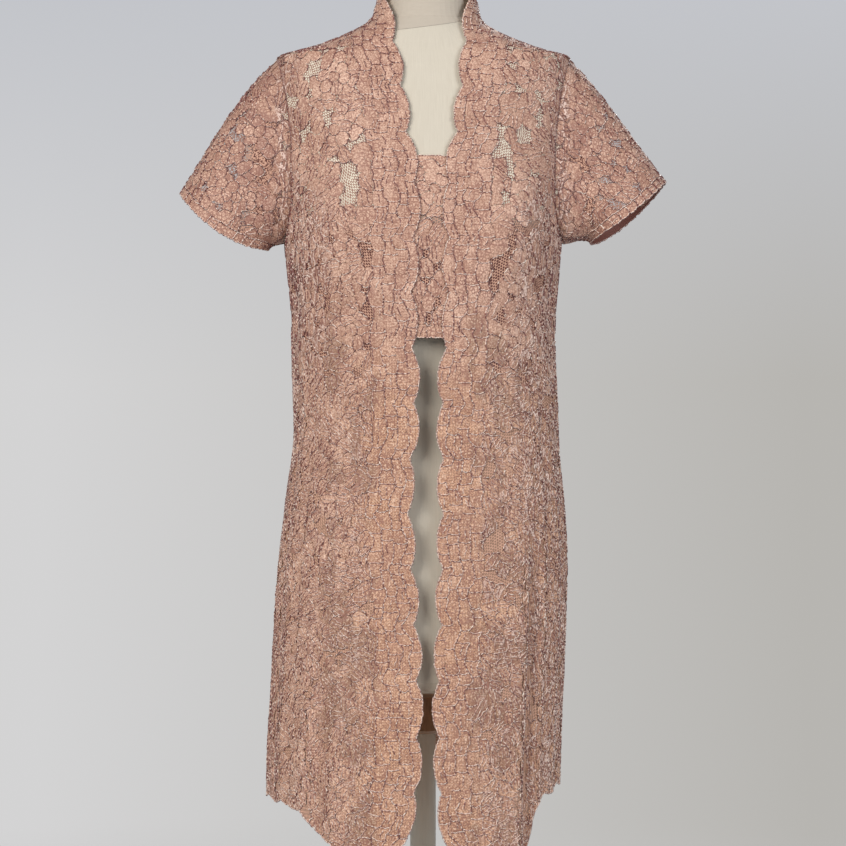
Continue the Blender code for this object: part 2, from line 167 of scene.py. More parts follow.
cloth = {
    "thickness": 0.0015,
    "panelGap": 0.0006,
    "seamGap": 0.0003,
    "squareness": 2.25,
    "neckSeam": 1.4195,
    "standTop": 1.466,
    "shoulderTip": 1.378,
    "armpit": 1.150,
    "hemZone": 0.50,
    "lowestHem": 0.380,
    "lobePower": 0.8,
    "steps": (0.4, 0.0005),     # degrees and metres over which the surface's slope is measured
}

# height, half width, front depth, back depth, centre
ringTable = (
    (0.380, 0.1825, 0.136, 0.124, -0.0125),
    (0.480, 0.1820, 0.134, 0.122, -0.0120),
    (0.614, 0.1815, 0.129, 0.118, -0.0065),
    (0.734, 0.1797, 0.124, 0.113, -0.0015),
    (0.824, 0.1730, 0.119, 0.107, 0.0020),
    (0.914, 0.1640, 0.115, 0.100, 0.0035),
    (1.041, 0.1640, 0.117, 0.099, 0.0000),
    (1.150, 0.1720, 0.121, 0.104, 0.0000),
    (1.260, 0.1780, 0.108, 0.109, 0.0000),
    (1.340, 0.1860, 0.092, 0.100, 0.0000),
    (1.378, 0.1830, 0.079, 0.090, 0.0000),
    (1.3895, 0.1448, 0.074, 0.083, 0.0005),
    (1.4125, 0.0880, 0.065, 0.070, 0.0020),
    (1.423, 0.0725, 0.061, 0.066, 0.0035),
    (1.440, 0.0645, 0.058, 0.063, 0.0045),
    (1.466, 0.0600, 0.056, 0.061, 0.0050),
)
halfWidthAt, frontDepthAt, backDepthAt, centreAt = tableCurves(ringTable)

# height, wearer's right edge, wearer's left edge
edgeTable = (
    (0.370, -0.0300, 0.0340),
    (0.425, -0.0205, 0.0265),
    (0.500, -0.0065, 0.0175),
    (0.590, -0.0040, 0.0155),
    (0.700, -0.0085, 0.0190),
    (0.830, -0.0150, 0.0210),
    (0.950, -0.0075, 0.0205),
    (1.060, -0.0110, 0.0275),
    (1.200, -0.0070, 0.0280),
    (1.290, -0.0190, 0.0400),
    (1.350, -0.0270, 0.0465),
    (1.400, -0.0360, 0.0510),
    (1.453, -0.0460, 0.0560),
    (1.460, -0.0500, 0.0600),
    (1.466, -0.0543, 0.0643),
)
edgeAt = dict(zip((-1, 1), tableCurves(edgeTable)))

# angle from the front edge, wearer's right hem, wearer's left hem
hemTable = (
    (0, 0.383, 0.380),
    (15, 0.395, 0.383),
    (25, 0.411, 0.387),
    (36, 0.434, 0.396),
    (43, 0.454, 0.403),
    (49, 0.462, 0.412),
    (54, 0.465, 0.466),
    (64, 0.466, 0.476),
    (90, 0.469, 0.484),
    (180, 0.460, 0.460),
)
hemAt = dict(zip((-1, 1), tableCurves(hemTable)))

# height, where the armhole cuts the front and the back
armholeTable = (
    (1.150, 0.1720, 0.1720),
    (1.166, 0.1665, 0.1675),
    (1.200, 0.1620, 0.1640),
    (1.260, 0.1620, 0.1650),
    (1.320, 0.1680, 0.1700),
    (1.360, 0.1765, 0.1775),
    (1.378, 0.1830, 0.1830),
)
armholeFrontAt, armholeBackAt = tableCurves(armholeTable)

# angle (wearer's left above 0), half angle, depth, lowest and highest height
foldTable = (
    (41, 8, 0.004, 0.30, 0.80),
    (48, 7, -0.010, 0.30, 0.82),
    (-36, 7, -0.007, 0.30, 0.66),
    (-44, 7, 0.003, 0.30, 0.70),
    (74, 11, -0.006, 1.00, 1.17),
    (-74, 11, -0.006, 1.00, 1.17),
    (146, 16, -0.009, 0.30, 0.90),
    (172, 13, 0.006, 0.30, 0.85),
    (206, 17, -0.010, 0.30, 0.96),
    (238, 14, 0.005, 0.30, 0.80),
)
foldFade = {"top": 0.12, "foot": 0.06}

# smaller creases of the same kind, on top of the large folds
creaseTable = (
    (58, 3.5, -0.0022, 0.40, 1.02),
    (66, 3.0, 0.0018, 0.46, 0.96),
    (72, 3.5, -0.0024, 0.40, 0.88),
    (80, 3.5, 0.0016, 0.44, 1.05),
    (-55, 3.5, -0.0020, 0.40, 0.92),
    (-62, 3.0, 0.0018, 0.44, 1.04),
    (-70, 3.5, -0.0024, 0.42, 0.98),
    (-79, 3.5, 0.0018, 0.40, 0.86),
    (63, 4.0, -0.0022, 1.02, 1.22),
    (-66, 4.0, -0.0022, 1.02, 1.24),
    (24, 5.0, -0.0016, 0.36, 0.72),
    (-22, 5.0, -0.0016, 0.38, 0.64),
    (118, 5.0, -0.0026, 0.42, 0.98),
    (128, 4.0, 0.0020, 0.44, 0.86),
    (160, 6.0, -0.0024, 0.40, 0.92),
    (184, 5.0, 0.0022, 0.40, 1.00),
    (196, 6.0, -0.0024, 0.46, 0.88),
    (222, 5.0, 0.0022, 0.40, 0.94),
    (246, 5.0, -0.0026, 0.42, 1.04),
)

chest = {"angle": 38, "halfAngle": 30, "height": 1.165, "halfHeight": 0.105, "depth": 0.010}
ripple = {"depth": 0.0007, "rise": 0.052, "turn": 11.0}
scallops = {
    "pitch": 0.066,
    "slopedPitch": 0.0574,      # from the centre panel's top upwards
    "depth": 0.0085,
    "roundness": 0.8,
    "lowestTip": 0.4534,
    "panelTop": 1.2454,
}


def softBump(distance):
    return np.where(np.abs(distance) < 1, np.cos(np.pi / 2 * np.clip(distance, -1, 1)) ** 2, 0)


def softStep(value):
    value = np.clip(value, 0, 1)
    return value * value * (3 - 2 * value)


def turnBetween(a, b):
    return (a - b + 180) % 360 - 180


def signedPower(value, power):
    return np.sign(value) * np.abs(value) ** power


def foldDepth(angle, height):
    depth = np.zeros(np.broadcast(angle, height).shape)
    for place, halfAngle, most, low, high in foldTable + creaseTable:
        across = softBump(turnBetween(angle, place) / halfAngle)
        above = softStep((high - height) / foldFade["top"])
        below = softStep((height - low) / foldFade["foot"])
        depth = depth + most * across * above * below
    return depth


def chestFullness(angle, height):
    rise = softBump((height - chest["height"]) / chest["halfHeight"])
    turned = turnBetween(angle, 0)
    sides = sum(softBump((turned - side * chest["angle"]) / chest["halfAngle"]) for side in (-1, 1))
    return chest["depth"] * rise * sides


def unevenness(angle, height):
    # the slight cockling of corded lace
    turn, rise = angle / ripple["turn"], height / ripple["rise"]
    waves = np.sin(turn + 1.7 * np.sin(rise * 0.61)) * np.sin(rise + 1.3 * np.sin(turn * 0.47))
    return ripple["depth"] * waves


def onRing(angle, halfWidth, depths, centre, height, movedOut):
    turn = np.radians(angle)
    power = 2 / cloth["squareness"]
    across = signedPower(np.sin(turn), power)
    ahead = signedPower(np.cos(turn), power)
    depth = np.where(ahead > 0, depths[0], depths[1])
    x = centre + halfWidth * across + movedOut * np.sin(turn)
    y = -depth * ahead - movedOut * np.cos(turn)
    return np.stack(np.broadcast_arrays(x, y, height), -1)


def bodyPoint(angle, height):
    moved = chestFullness(angle, height) + foldDepth(angle, height) + unevenness(angle, height)
    depths = frontDepthAt(height), backDepthAt(height)
    return onRing(angle, halfWidthAt(height), depths, centreAt(height), height, moved)


def angleAt(x, height):
    across = np.clip((x - centreAt(height)) / halfWidthAt(height), -1, 1)
    return np.degrees(np.arcsin(signedPower(across, cloth["squareness"] / 2)))


def scallopPhase(height):
    low = (height - scallops["lowestTip"]) / scallops["pitch"]
    top = (scallops["panelTop"] - scallops["lowestTip"]) / scallops["pitch"]
    high = top + (height - scallops["panelTop"]) / scallops["slopedPitch"]
    return np.where(height <= scallops["panelTop"], low, high)


def scallopHeight(phase):
    top = (scallops["panelTop"] - scallops["lowestTip"]) / scallops["pitch"]
    low = scallops["lowestTip"] + phase * scallops["pitch"]
    return np.where(phase <= top, low, scallops["panelTop"] + (phase - top) * scallops["slopedPitch"])


def scallopWave(height):
    lobes = np.abs(np.cos(np.pi * scallopPhase(height))) ** scallops["roundness"]
    return scallops["depth"] / 2 * (2 * lobes - 1)


hemLobes = {"depth": 0.006, "count": 24}


def hemRow(height, angle, side):
    # rows under the hem zone are squeezed, so that the lowest one follows the scalloped hem
    lobe = np.abs(np.sin(np.radians(angle) * hemLobes["count"] / 2)) ** cloth["lobePower"]
    hem = hemAt[side](np.abs(angle)) + hemLobes["depth"] * (0.5 - lobe)
    share = (cloth["hemZone"] - height) / (cloth["hemZone"] - cloth["lowestHem"])
    return np.where(share > 0, cloth["hemZone"] - (cloth["hemZone"] - hem) * share, height)


# distances along the rings, so that the lace keeps its size; the rings are closer at the shoulders
ringHeights = np.concatenate([np.arange(0.36, 1.37, 0.01), np.arange(1.372, 1.4665, 0.002)])
ringAngles = np.arange(-45, 105.1, 0.5)


def plainRing(angle, height):
    return onRing(angle, halfWidthAt(height), (frontDepthAt(height), backDepthAt(height)), 0, height, 0)


ringPoints = plainRing(ringAngles[None, :], ringHeights[:, None])
ringSteps = np.linalg.norm(np.diff(ringPoints, axis=1), axis=2)
ringArcs = np.concatenate([np.zeros((len(ringHeights), 1)), np.cumsum(ringSteps, axis=1)], axis=1)
ringArcs -= ringArcs[:, [int(np.argmin(np.abs(ringAngles)))]]
arcPlaces = np.arange(-0.06, 0.34, 0.002)
anglesByArc = np.array([np.interp(arcPlaces, arcs, ringAngles) for arcs in ringArcs])


def readTable(table, rowPlaces, columnPlaces, row, column):
    row, column = np.broadcast_arrays(row, column)
    r = np.clip(np.searchsorted(rowPlaces, row) - 1, 0, len(rowPlaces) - 2)
    c = np.clip(np.searchsorted(columnPlaces, column) - 1, 0, len(columnPlaces) - 2)
    a = np.clip((row - rowPlaces[r]) / (rowPlaces[r + 1] - rowPlaces[r]), 0, 1)
    b = np.clip((column - columnPlaces[c]) / (columnPlaces[c + 1] - columnPlaces[c]), 0, 1)
    low = table[r, c] * (1 - b) + table[r, c + 1] * b
    high = table[r + 1, c] * (1 - b) + table[r + 1, c + 1] * b
    return low * (1 - a) + high * a


def arcAt(angle, height):
    return readTable(ringArcs, ringHeights, ringAngles, height, angle)


def angleAtArc(arc, height):
    return readTable(anglesByArc, ringHeights, arcPlaces, height, arc)


def seamAngle(side, height, front):
    # where a front or the back ends, as an angle from its own middle
    gap = 0.05
    armhole = (armholeFrontAt if front else armholeBackAt)(height)
    cut = angleAt(centreAt(height) + armhole, height)
    inArmhole = (height > cloth["armpit"]) & (height < cloth["shoulderTip"])
    return np.where(inArmhole, np.minimum(90 - gap, cut), 90 - gap)


lace = {
    "netLift": -0.00080,        # the net lies this far under the outer face
    "rimLift": -0.00045,
    "petalInset": 0.00015,      # petals stop short of their cords,
    "overlap": 0.00015,         # and reach past the edge where they join
    "leastShare": 0.2,          # but never closer to the middle than this
    "turnIn": 0.0011,           # width of a petal's rim
    "mostTurnIn": 0.6,          # as a share of the way to its middle
    "dome": 0.040,              # height of a petal as a share of its size
    "leastDome": 0.0003,
    "mostDome": 0.0008,
    "ringDome": 0.72,           # height just inside the rim, as a share of the middle's
    "bulge": 0.21,              # how far an edge bends, as a share of its length
    "evenBulge": 0.7,           # less between petals of one rank
    "lobe": 0.0085,             # length of one lobe of a long edge
    "outlineStep": 0.0030,
    "cordStep": 0.0021,
    "cordRadius": 0.00096,
    "cordLift": 0.00012,
    "edgeCord": 1.16,           # thickness of other cords, as shares of a usual one's
    "bandCord": 1.12,
    "ribCord": 0.8,
    "edgeInset": 0.0004,
    "edgeLift": -0.0003,
    "hemLift": -0.0002,
    "seamLift": -0.0001,
    "seamInset": 0.35,          # degrees
    "waver": 0.00085,           # how far a cord wanders to its sides
    "reach": 0.024,             # half the square that a cell is cut from
    "wallReach": 1.6,
    "spread": 0.20,             # how far petals spread into a window
    "clear": 1.6,               # flowers keep clear of the open places, grown by this
    "startTrims": (0, 0, 0, 1, 1, 2),   # steps that a cord is short of its corners
    "endTrims": (0, 1, 0, 2, 0),
}


def unit(vectors):
    return vectors / np.maximum(np.linalg.norm(vectors, axis=-1, keepdims=True), 1e-9)


class Panel:
    # a stretch of cloth; point(u, v) gives places on its outer face
    def __init__(self, name, point, steps, facing=1, inset=0.0):
        self.name = name
        self.point = point
        self.steps = steps
        self.facing = facing
        self.inset = inset
        self.rims, self.joined, self.middles, self.tones, self.domes = [], [], [], [], []
        self.cords, self.radii = [], []
        self.random = random.Random(name)
        self.floorAt = None

    def slopes(self, u, v):
        du, dv = self.steps
        alongU = (self.point(u + du, v) - self.point(u - du, v)) / (2 * du)
        alongV = (self.point(u, v + dv) - self.point(u, v - dv)) / (2 * dv)
        return alongU, alongV

    def normal(self, u, v):
        alongU, alongV = self.slopes(u, v)
        return unit(np.cross(alongU, alongV) * self.facing)

    def frames(self, us, vs):
        # points on the cloth with their outward, upward and sideways directions
        alongU, alongV = self.slopes(us, vs)
        normals = unit(np.cross(alongU, alongV) * self.facing)
        ups = unit(alongV - normals * np.sum(alongV * normals, -1, keepdims=True))
        return self.point(us, vs), normals, ups, np.cross(ups, normals)

    def raised(self, u, v, lift):
        lift = np.asarray(lift, float) - self.inset
        return self.point(u, v) + self.normal(u, v) * lift[..., None]

    def settle(self, u, v, target):
        # the places on the surface nearest to the target points
        for _ in range(4):
            away = target - self.point(u, v)
            alongU, alongV = self.slopes(u, v)
            uu = np.sum(alongU * alongU, -1)
            vv = np.sum(alongV * alongV, -1)
            uv = np.sum(alongU * alongV, -1)
            ru = np.sum(alongU * away, -1)
            rv = np.sum(alongV * away, -1)
            det = np.maximum(uu * vv - uv * uv, 1e-18)
            u = u + (vv * ru - uv * rv) / det
            v = v + (uu * rv - uv * ru) / det
        return u, v

    def layPetal(self, us, vs, joined, tone, dome):
        # the last place is the petal's middle, the others are its rim
        self.rims.append(np.stack([us[:-1], vs[:-1]], 1))
        self.middles.append((us[-1], vs[-1]))
        self.joined.append(joined)
        self.tones.append(tone)
        self.domes.append(dome)

    def layCord(self, us, vs, lift, thickness=1.0):
        self.cords.append(np.stack([us, vs, np.full(len(us), lift)], 1))
        self.radii.append(lace["cordRadius"] * thickness)


def shapedOutline(outline, inset):
    # draws a petal's outline in from its cords, and out a little where it joins the next petal
    joined = np.array([p[2] for p in outline], float)
    points = np.array([p[:2] for p in outline])
    middle = points.mean(0)
    away = points - middle
    length = np.maximum(np.linalg.norm(away, axis=1), 1e-9)
    share = 1 - (inset - (inset + lace["overlap"]) * joined) / length
    points = middle + away * np.maximum(share, lace["leastShare"])[:, None]
    points = (np.roll(points, 1, 0) + 3 * points + np.roll(points, -1, 0)) / 5
    return np.vstack([points, middle[None]]), joined


def between(start, end, t):
    return start[0] + (end[0] - start[0]) * t, start[1] + (end[1] - start[1]) * t


def arched(start, end, bulge, step):
    # points from start towards end, without the end, bent out to the right by a share of the length
    across, up = end[0] - start[0], end[1] - start[1]
    count = max(2, round(math.hypot(across, up) / step))
    points = []
    for i in range(count):
        t = i / count
        out = 4 * bulge * t * (1 - t)
        x, y = between(start, end, t)
        points.append((x + up * out, y - across * out))
    return points


def lobed(start, end, bulge, step):
    # a long edge bends out in two or three lobes
    lobes = max(1, round(math.hypot(end[0] - start[0], end[1] - start[1]) / lace["lobe"]))
    points = []
    for i in range(lobes):
        first, last = between(start, end, i / lobes), between(start, end, (i + 1) / lobes)
        points += arched(first, last, bulge, step)
    return points


def clipped(polygon, nx, ny, limit, tag):
    # each corner carries the tag of the edge that starts there
    kept = []
    for i, (x0, y0, tag0) in enumerate(polygon):
        x1, y1, _ = polygon[(i + 1) % len(polygon)]
        s0 = nx * x0 + ny * y0 - limit
        s1 = nx * x1 + ny * y1 - limit
        if s0 <= 0:
            kept.append((x0, y0, tag0))
        if (s0 <= 0) != (s1 <= 0):
            f = s0 / (s0 - s1)
            kept.append((x0 + (x1 - x0) * f, y0 + (y1 - y0) * f, tag if s0 <= 0 else tag0))
    return kept


class Seeds:
    # the middles of petals, kept apart; each has a long direction and how far it is stretched along it
    def __init__(self):
        self.places, self.kinds, self.longs, self.stretches = [], [], [], []
        self.grid = {}
        self.cell = 0.016

    def fits(self, point, spacing, long, stretch):
        x, y, z = point
        lx, ly, lz = long
        squash = 1 - 1 / stretch ** 2
        reach = int(math.ceil(spacing * stretch / self.cell))
        kx, ky, kz = (int(math.floor(c / self.cell)) for c in point)
        for i in range(kx - reach, kx + reach + 1):
            for j in range(ky - reach, ky + reach + 1):
                for k in range(kz - reach, kz + reach + 1):
                    for ox, oy, oz in self.grid.get((i, j, k), ()):
                        dx, dy, dz = x - ox, y - oy, z - oz
                        along = dx * lx + dy * ly + dz * lz
                        if dx * dx + dy * dy + dz * dz - squash * along * along < spacing * spacing:
                            return False
        return True

    def add(self, place, point, kind, long, stretch):
        key = tuple(int(math.floor(c / self.cell)) for c in point)
        self.grid.setdefault(key, []).append(tuple(point))
        self.places.append(place)
        self.kinds.append(kind)
        self.longs.append(long)
        self.stretches.append(stretch)


# a petal of a higher rank swells into those of lower ranks
ranks = {"window": 0, "field": 1, "leaf": 2, "outer": 3, "inner": 4, "heart": 5}

# how many of a hundred neighbours run into each other, with no cord between them
joinShares = {
    ("window", "window"): 100,
    ("field", "field"): 56,
    ("leaf", "leaf"): 50,
    ("field", "leaf"): 44,
    ("outer", "outer"): 32,
    ("leaf", "outer"): 26,
    ("field", "outer"): 24,
    ("inner", "inner"): 20,
    ("inner", "outer"): 14,
    ("heart", "inner"): 20,
}

flower = {
    "inner": (6, 0.0118, 1.45),     # petals in a ring, distance from the heart, stretch outwards
    "outer": (8, 0.0262, 1.30),
    "windows": (11, 0.0385),
    "windowShare": 0.45,            # the rest of that ring are leaves
    "ringStretch": 1.5,
    "openStretch": 1.3,
    "closest": 0.0078,
    "turns": (-0.12, 0.12),
    "reaches": (0.92, 1.08),
}


def flowerRays(panel, flowerCount):
    # for each petal of each flower: the flower's number, the way to it, its ring and a draw
    owners, rays, names, draws = [], [], [], []
    for f in range(flowerCount):
        twist = panel.random.uniform(0, math.tau)
        for kind in ("inner", "outer", "windows"):
            count, radius = flower[kind][:2]
            for i in range(count):
                turn = twist + math.tau * i / count + panel.random.uniform(*flower["turns"])
                reach = radius * panel.random.uniform(*flower["reaches"])
                owners.append(f)
                rays.append((math.cos(turn) * reach, math.sin(turn) * reach))
                names.append(kind)
                draws.append(panel.random.random())
            twist += math.pi / count
    return np.array(owners), np.array(rays), names, draws


def scatterFlowers(panel, seeds, inside, flowers):
    middles = np.array(flowers)
    middles = middles[inside(middles[:, 0], middles[:, 1])]
    middles = middles[~openAt(panel.point(middles[:, 0], middles[:, 1]), lace["clear"])]
    points, normals, ups, acrosses = panel.frames(middles[:, 0], middles[:, 1])
    for place, point, up in zip(middles, points, ups):
        if seeds.fits(point, flower["closest"], up, 1.0):
            seeds.add(tuple(place), point, "heart", up, 1.0)
    owners, rays, names, draws = flowerRays(panel, len(middles))
    away = acrosses[owners] * rays[:, :1] + ups[owners] * rays[:, 1:]
    us, vs = panel.settle(middles[owners, 0], middles[owners, 1], points[owners] + away)
    placed = panel.point(us, vs)
    away = unit(away)
    sideways = np.cross(normals[owners], away)
    for i in np.nonzero(inside(us, vs) & ~openAt(placed, lace["clear"]))[0]:
        kind = names[i]
        if not seeds.fits(placed[i], flower["closest"], away[i], 1.0):
            continue
        if kind == "windows":
            kind = "window" if draws[i] < flower["windowShare"] else "leaf"
            seeds.add((us[i], vs[i]), placed[i], kind, sideways[i], flower["ringStretch"])
        else:
            seeds.add((us[i], vs[i]), placed[i], kind, away[i], flower[kind][2])


def scatter(panel, inside, flowers, candidates, spacing, grainAt):
    # the open places first, then the flowers, then the rest of the ground between them
    seeds = Seeds()
    us, vs = candidates
    kept = inside(us, vs)
    us, vs = us[kept], vs[kept]
    points, _, ups, acrosses = panel.frames(us, vs)
    for i in windowsIn(points):
        seeds.add((us[i], vs[i]), points[i], "window", ups[i], flower["openStretch"])
    scatterFlowers(panel, seeds, inside, flowers)
    turns, stretches, openings = grainAt(us, vs, points)
    longs = ups * np.cos(turns)[:, None] + acrosses * np.sin(turns)[:, None]
    order = np.argsort(openings < 0.9, kind="stable")
    barred = openAt(points, lace["clear"]) & ~openAt(points)
    for i in order[~barred[order]]:
        point, stretch = points[i], float(stretches[i])
        if seeds.fits(point, spacing / math.sqrt(stretch), longs[i], stretch):
            kind = "window" if openings[i] > panel.random.random() else "field"
            seeds.add((us[i], vs[i]), point, kind, longs[i], stretch)
    return seeds


petals = {
    "neighbours": 20,
    "shortest": 0.0004,         # edges and areas under these are left out
    "smallest": 1.6e-5,
    "domes": (0.6, 1.15),
    "skirt": 1.0,               # under this height at the front every large petal has ribs
    "ribsFrom": 7e-5,           # areas from which a petal may have one rib, and two
    "twoRibsFrom": 1.9e-4,
    "twoInSkirt": 1.0e-4,
    "oneRib": (-0.12, 0.12),    # places across the petal
    "twoRibs": (-0.3, 0.32),
    "ribReaches": (0.55, 0.75),
    "ribBows": (-0.25, 0.25),
    "ribLift": 0.8,
    "tones": {"heart": 0.70, "inner": 0.10, "outer": 0.20, "leaf": 0.50, "field": 0.70},
    "toneShifts": (-0.25, 0.25),
}


def treeOf(points):
    tree = KDTree(len(points))
    for i, point in enumerate(points):
        tree.insert(point, i)
    tree.balance()
    return tree


def joins(seeds, i, j):
    # the draw is a fixed mix of the two numbers
    pair = tuple(sorted((seeds.kinds[i], seeds.kinds[j])))
    return (min(i, j) * 7919 + max(i, j) * 104729) % 100 < joinShares.get(pair, 0)


def cutLines(seeds, points, ups, acrosses):
    # neighbours of each seed, and the line between each two cells as a normal and a limit
    longs, stretches = np.array(seeds.longs), np.array(seeds.stretches, float)
    squash = 1 - 1 / stretches ** 2
    tree = treeOf(points)
    near = np.array([[j for _, j, _ in tree.find_n(point, petals["neighbours"])] for point in points])

    def flattened(vectors):
        x = np.einsum("ijk,ik->ij", vectors, acrosses)
        y = np.einsum("ijk,ik->ij", vectors, ups)
        return x, y

    x, y = flattened(points[near] - points[:, None])
    ix, iy = flattened(np.repeat(longs[:, None], near.shape[1], 1))
    jx, jy = flattened(longs[near])
    own = squash[:, None] * (x * ix + y * iy) / 2
    other = squash[near] * (x * jx + y * jy) / 2
    nx = x - own * ix - other * jx
    ny = y - own * iy - other * jy
    # petals spread into the windows beside them
    opened = np.array([kind == "window" for kind in seeds.kinds], float)
    limits = (x * nx + y * ny) / 2 * (1 + lace["spread"] * (opened[near] - opened[:, None]))
    return [values.tolist() for values in (near, nx, ny, limits)]


def wallsAlong(borders, points, ups, acrosses):
    # each border as a wall beside each seed: its normal, limit and distance
    walls = []
    for line in borders:
        tree = treeOf(line)
        at = np.array([tree.find(point)[1] for point in points])
        along = line[np.minimum(at + 1, len(line) - 1)] - line[np.maximum(at - 1, 0)]
        away = line[at] - points
        tx, ty = np.sum(along * acrosses, -1), np.sum(along * ups, -1)
        bx, by = np.sum(away * acrosses, -1), np.sum(away * ups, -1)
        flip = np.where(ty * bx - tx * by < 0, -1, 1)
        wx, wy = ty * flip, -tx * flip
        limits, distances = wx * bx + wy * by, np.linalg.norm(away, axis=1)
        walls.append([values.tolist() for values in (wx, wy, limits, distances)])
    return walls


def cellAround(i, reach, lines, walls):
    # a square round the seed, cut by its lines and walls
    polygon = [(-reach, -reach, -1), (reach, -reach, -1), (reach, reach, -1), (-reach, reach, -1)]
    for j, nx, ny, limit in zip(*(values[i] for values in lines)):
        if j != i:
            polygon = clipped(polygon, nx, ny, limit, j)
    for wx, wy, limit, distance in walls:
        if distance[i] < lace["wallReach"] * reach:
            polygon = clipped(polygon, wx[i], wy[i], limit[i], -2)
    return polygon


def edgesOf(seeds, i, polygon):
    # a petal's bent outline, and the cords between it and the neighbours that come after it
    outline, cords = [], []
    for c, (x0, y0, j) in enumerate(polygon):
        start, end = (x0, y0), polygon[(c + 1) % len(polygon)][:2]
        if math.hypot(end[0] - x0, end[1] - y0) < petals["shortest"]:
            continue
        bulge, joined = 0.0, False
        if j >= 0:
            rank, otherRank = ranks[seeds.kinds[i]], ranks[seeds.kinds[j]]
            lean = (rank > otherRank) - (rank < otherRank)
            if lean == 0:
                lean = lace["evenBulge"] * (1 if (i * 7 + j * 7) % 3 else -1) * (1 if i < j else -1)
            bulge = lace["bulge"] * lean
            joined = joins(seeds, i, j)
        outline += [(*p, joined) for p in lobed(start, end, bulge, lace["outlineStep"])]
        if j > i and not joined:
            cord = lobed(start, end, bulge, lace["cordStep"]) + [end]
            first = lace["startTrims"][(i * 3 + j * 5) % len(lace["startTrims"])]
            last = lace["endTrims"][(i * 7 + j) % len(lace["endTrims"])]
            cord = cord[first:len(cord) - last]
            if len(cord) > 2:
                cords.append(cord)
    return outline, cords


def ribsOf(panel, shape, two):
    # one or two bowed ribs along a petal
    middle = shape[-1]
    away = shape[:-1] - middle
    _, axes = np.linalg.eigh(away.T @ away)
    axis, cross = axes[:, 1], axes[:, 0]
    half = float(np.abs(away @ axis).max())
    width = float(np.abs(away @ cross).max())
    ribs = []
    for sway in petals["twoRibs"] if two else (panel.random.uniform(*petals["oneRib"]),):
        reach = panel.random.uniform(*petals["ribReaches"])
        bow = panel.random.uniform(*petals["ribBows"])
        count = max(3, int(2 * reach * half / lace["cordStep"]))
        t = np.linspace(-reach, reach, count)[:, None]
        ribs.append(middle + axis * half * t + cross * width * (sway + bow * (1 - t * t) - bow / 2))
    return ribs


def drawCells(panel, seeds, borders, ribShare):
    # a cell round each seed, bounded by its neighbours and by the borders given as lines of points
    places = np.array(seeds.places, float)
    points, _, ups, acrosses = panel.frames(places[:, 0], places[:, 1])
    lines = cutLines(seeds, points, ups, acrosses)
    walls = wallsAlong(borders, points, ups, acrosses)
    stretches = np.array(seeds.stretches, float)
    rims, cords = [], []
    for i, kind in enumerate(seeds.kinds):
        polygon = cellAround(i, lace["reach"] * max(1.0, stretches[i] ** 0.5), lines, walls)
        if len(polygon) < 3:
            continue
        outline, drawn = edgesOf(seeds, i, polygon)
        cords += [(i, np.array(line), 0.0) for line in drawn]
        if kind == "window" or len(outline) < 6:
            continue
        pairs = zip(outline, outline[1:] + outline[:1])
        area = 0.5 * abs(sum(a[0] * b[1] - a[1] * b[0] for a, b in pairs))
        if area < petals["smallest"]:
            continue
        shape, joined = shapedOutline(outline, lace["petalInset"])
        dome = min(max(lace["dome"] * math.sqrt(area), lace["leastDome"]), lace["mostDome"])
        dome *= panel.random.uniform(*petals["domes"])
        rims.append((i, shape, joined, dome))
        inSkirt = points[i][2] < petals["skirt"] and points[i][1] < 0
        if kind == "heart" or area < petals["ribsFrom"]:
            continue
        if panel.random.random() > (1.0 if inSkirt else ribShare):
            continue
        two = area > petals["twoInSkirt" if inSkirt else "twoRibsFrom"]
        lift = dome * petals["ribLift"] + lace["rimLift"]
        cords += [(i, rib, lift) for rib in ribsOf(panel, shape, two)]

    # every outline and cord is brought back onto the curved surface together
    owners = np.concatenate([np.full(len(line), i) for i, line, *_ in rims + cords])
    flat = np.concatenate([line for _, line, *_ in rims + cords])
    targets = points[owners] + acrosses[owners] * flat[:, :1] + ups[owners] * flat[:, 1:]
    us, vs = panel.settle(places[owners, 0], places[owners, 1], targets)
    sunk = np.zeros(len(us), bool)
    if panel.floorAt:
        floors = panel.floorAt(us)
        sunk = vs < floors
        vs = np.maximum(vs, floors)
    end = 0
    for i, shape, joined, dome in rims:
        start, end = end, end + len(shape)
        if not sunk[end - 1]:
            tone = petals["tones"][seeds.kinds[i]] + panel.random.uniform(*petals["toneShifts"])
            panel.layPetal(us[start:end], vs[start:end], joined, min(max(tone, 0), 1), dome)
    for _, line, lift in cords:
        start, end = end, end + len(line)
        if sunk[start:end].mean() <= 0.5:
            thickness = lace["ribCord"] if lift else 1.0
            panel.layCord(us[start:end], vs[start:end], lace["cordLift"] + lift, thickness)


band = {
    "joinedRungs": 0.16,        # share of cells that run into the next one
    "sags": (0.05, 0.16),       # how far the edges of a cell bend, as shares of their length
    "bulges": (0.0, 0.06),
    "upperSag": 0.8,
    "uprights": 0.86,           # share of cells with an upright cord
    "bows": (0.06, 0.15),
    "ribs": 0.35,               # share of tall cells with a rib
    "ribFrom": 0.011,
    "ribPlaces": (0.35, 0.65),
    "ribSpan": (0.2, 0.75),
    "tones": (0.15, 0.85),
    "domes": (0.0004, 0.0008),
}


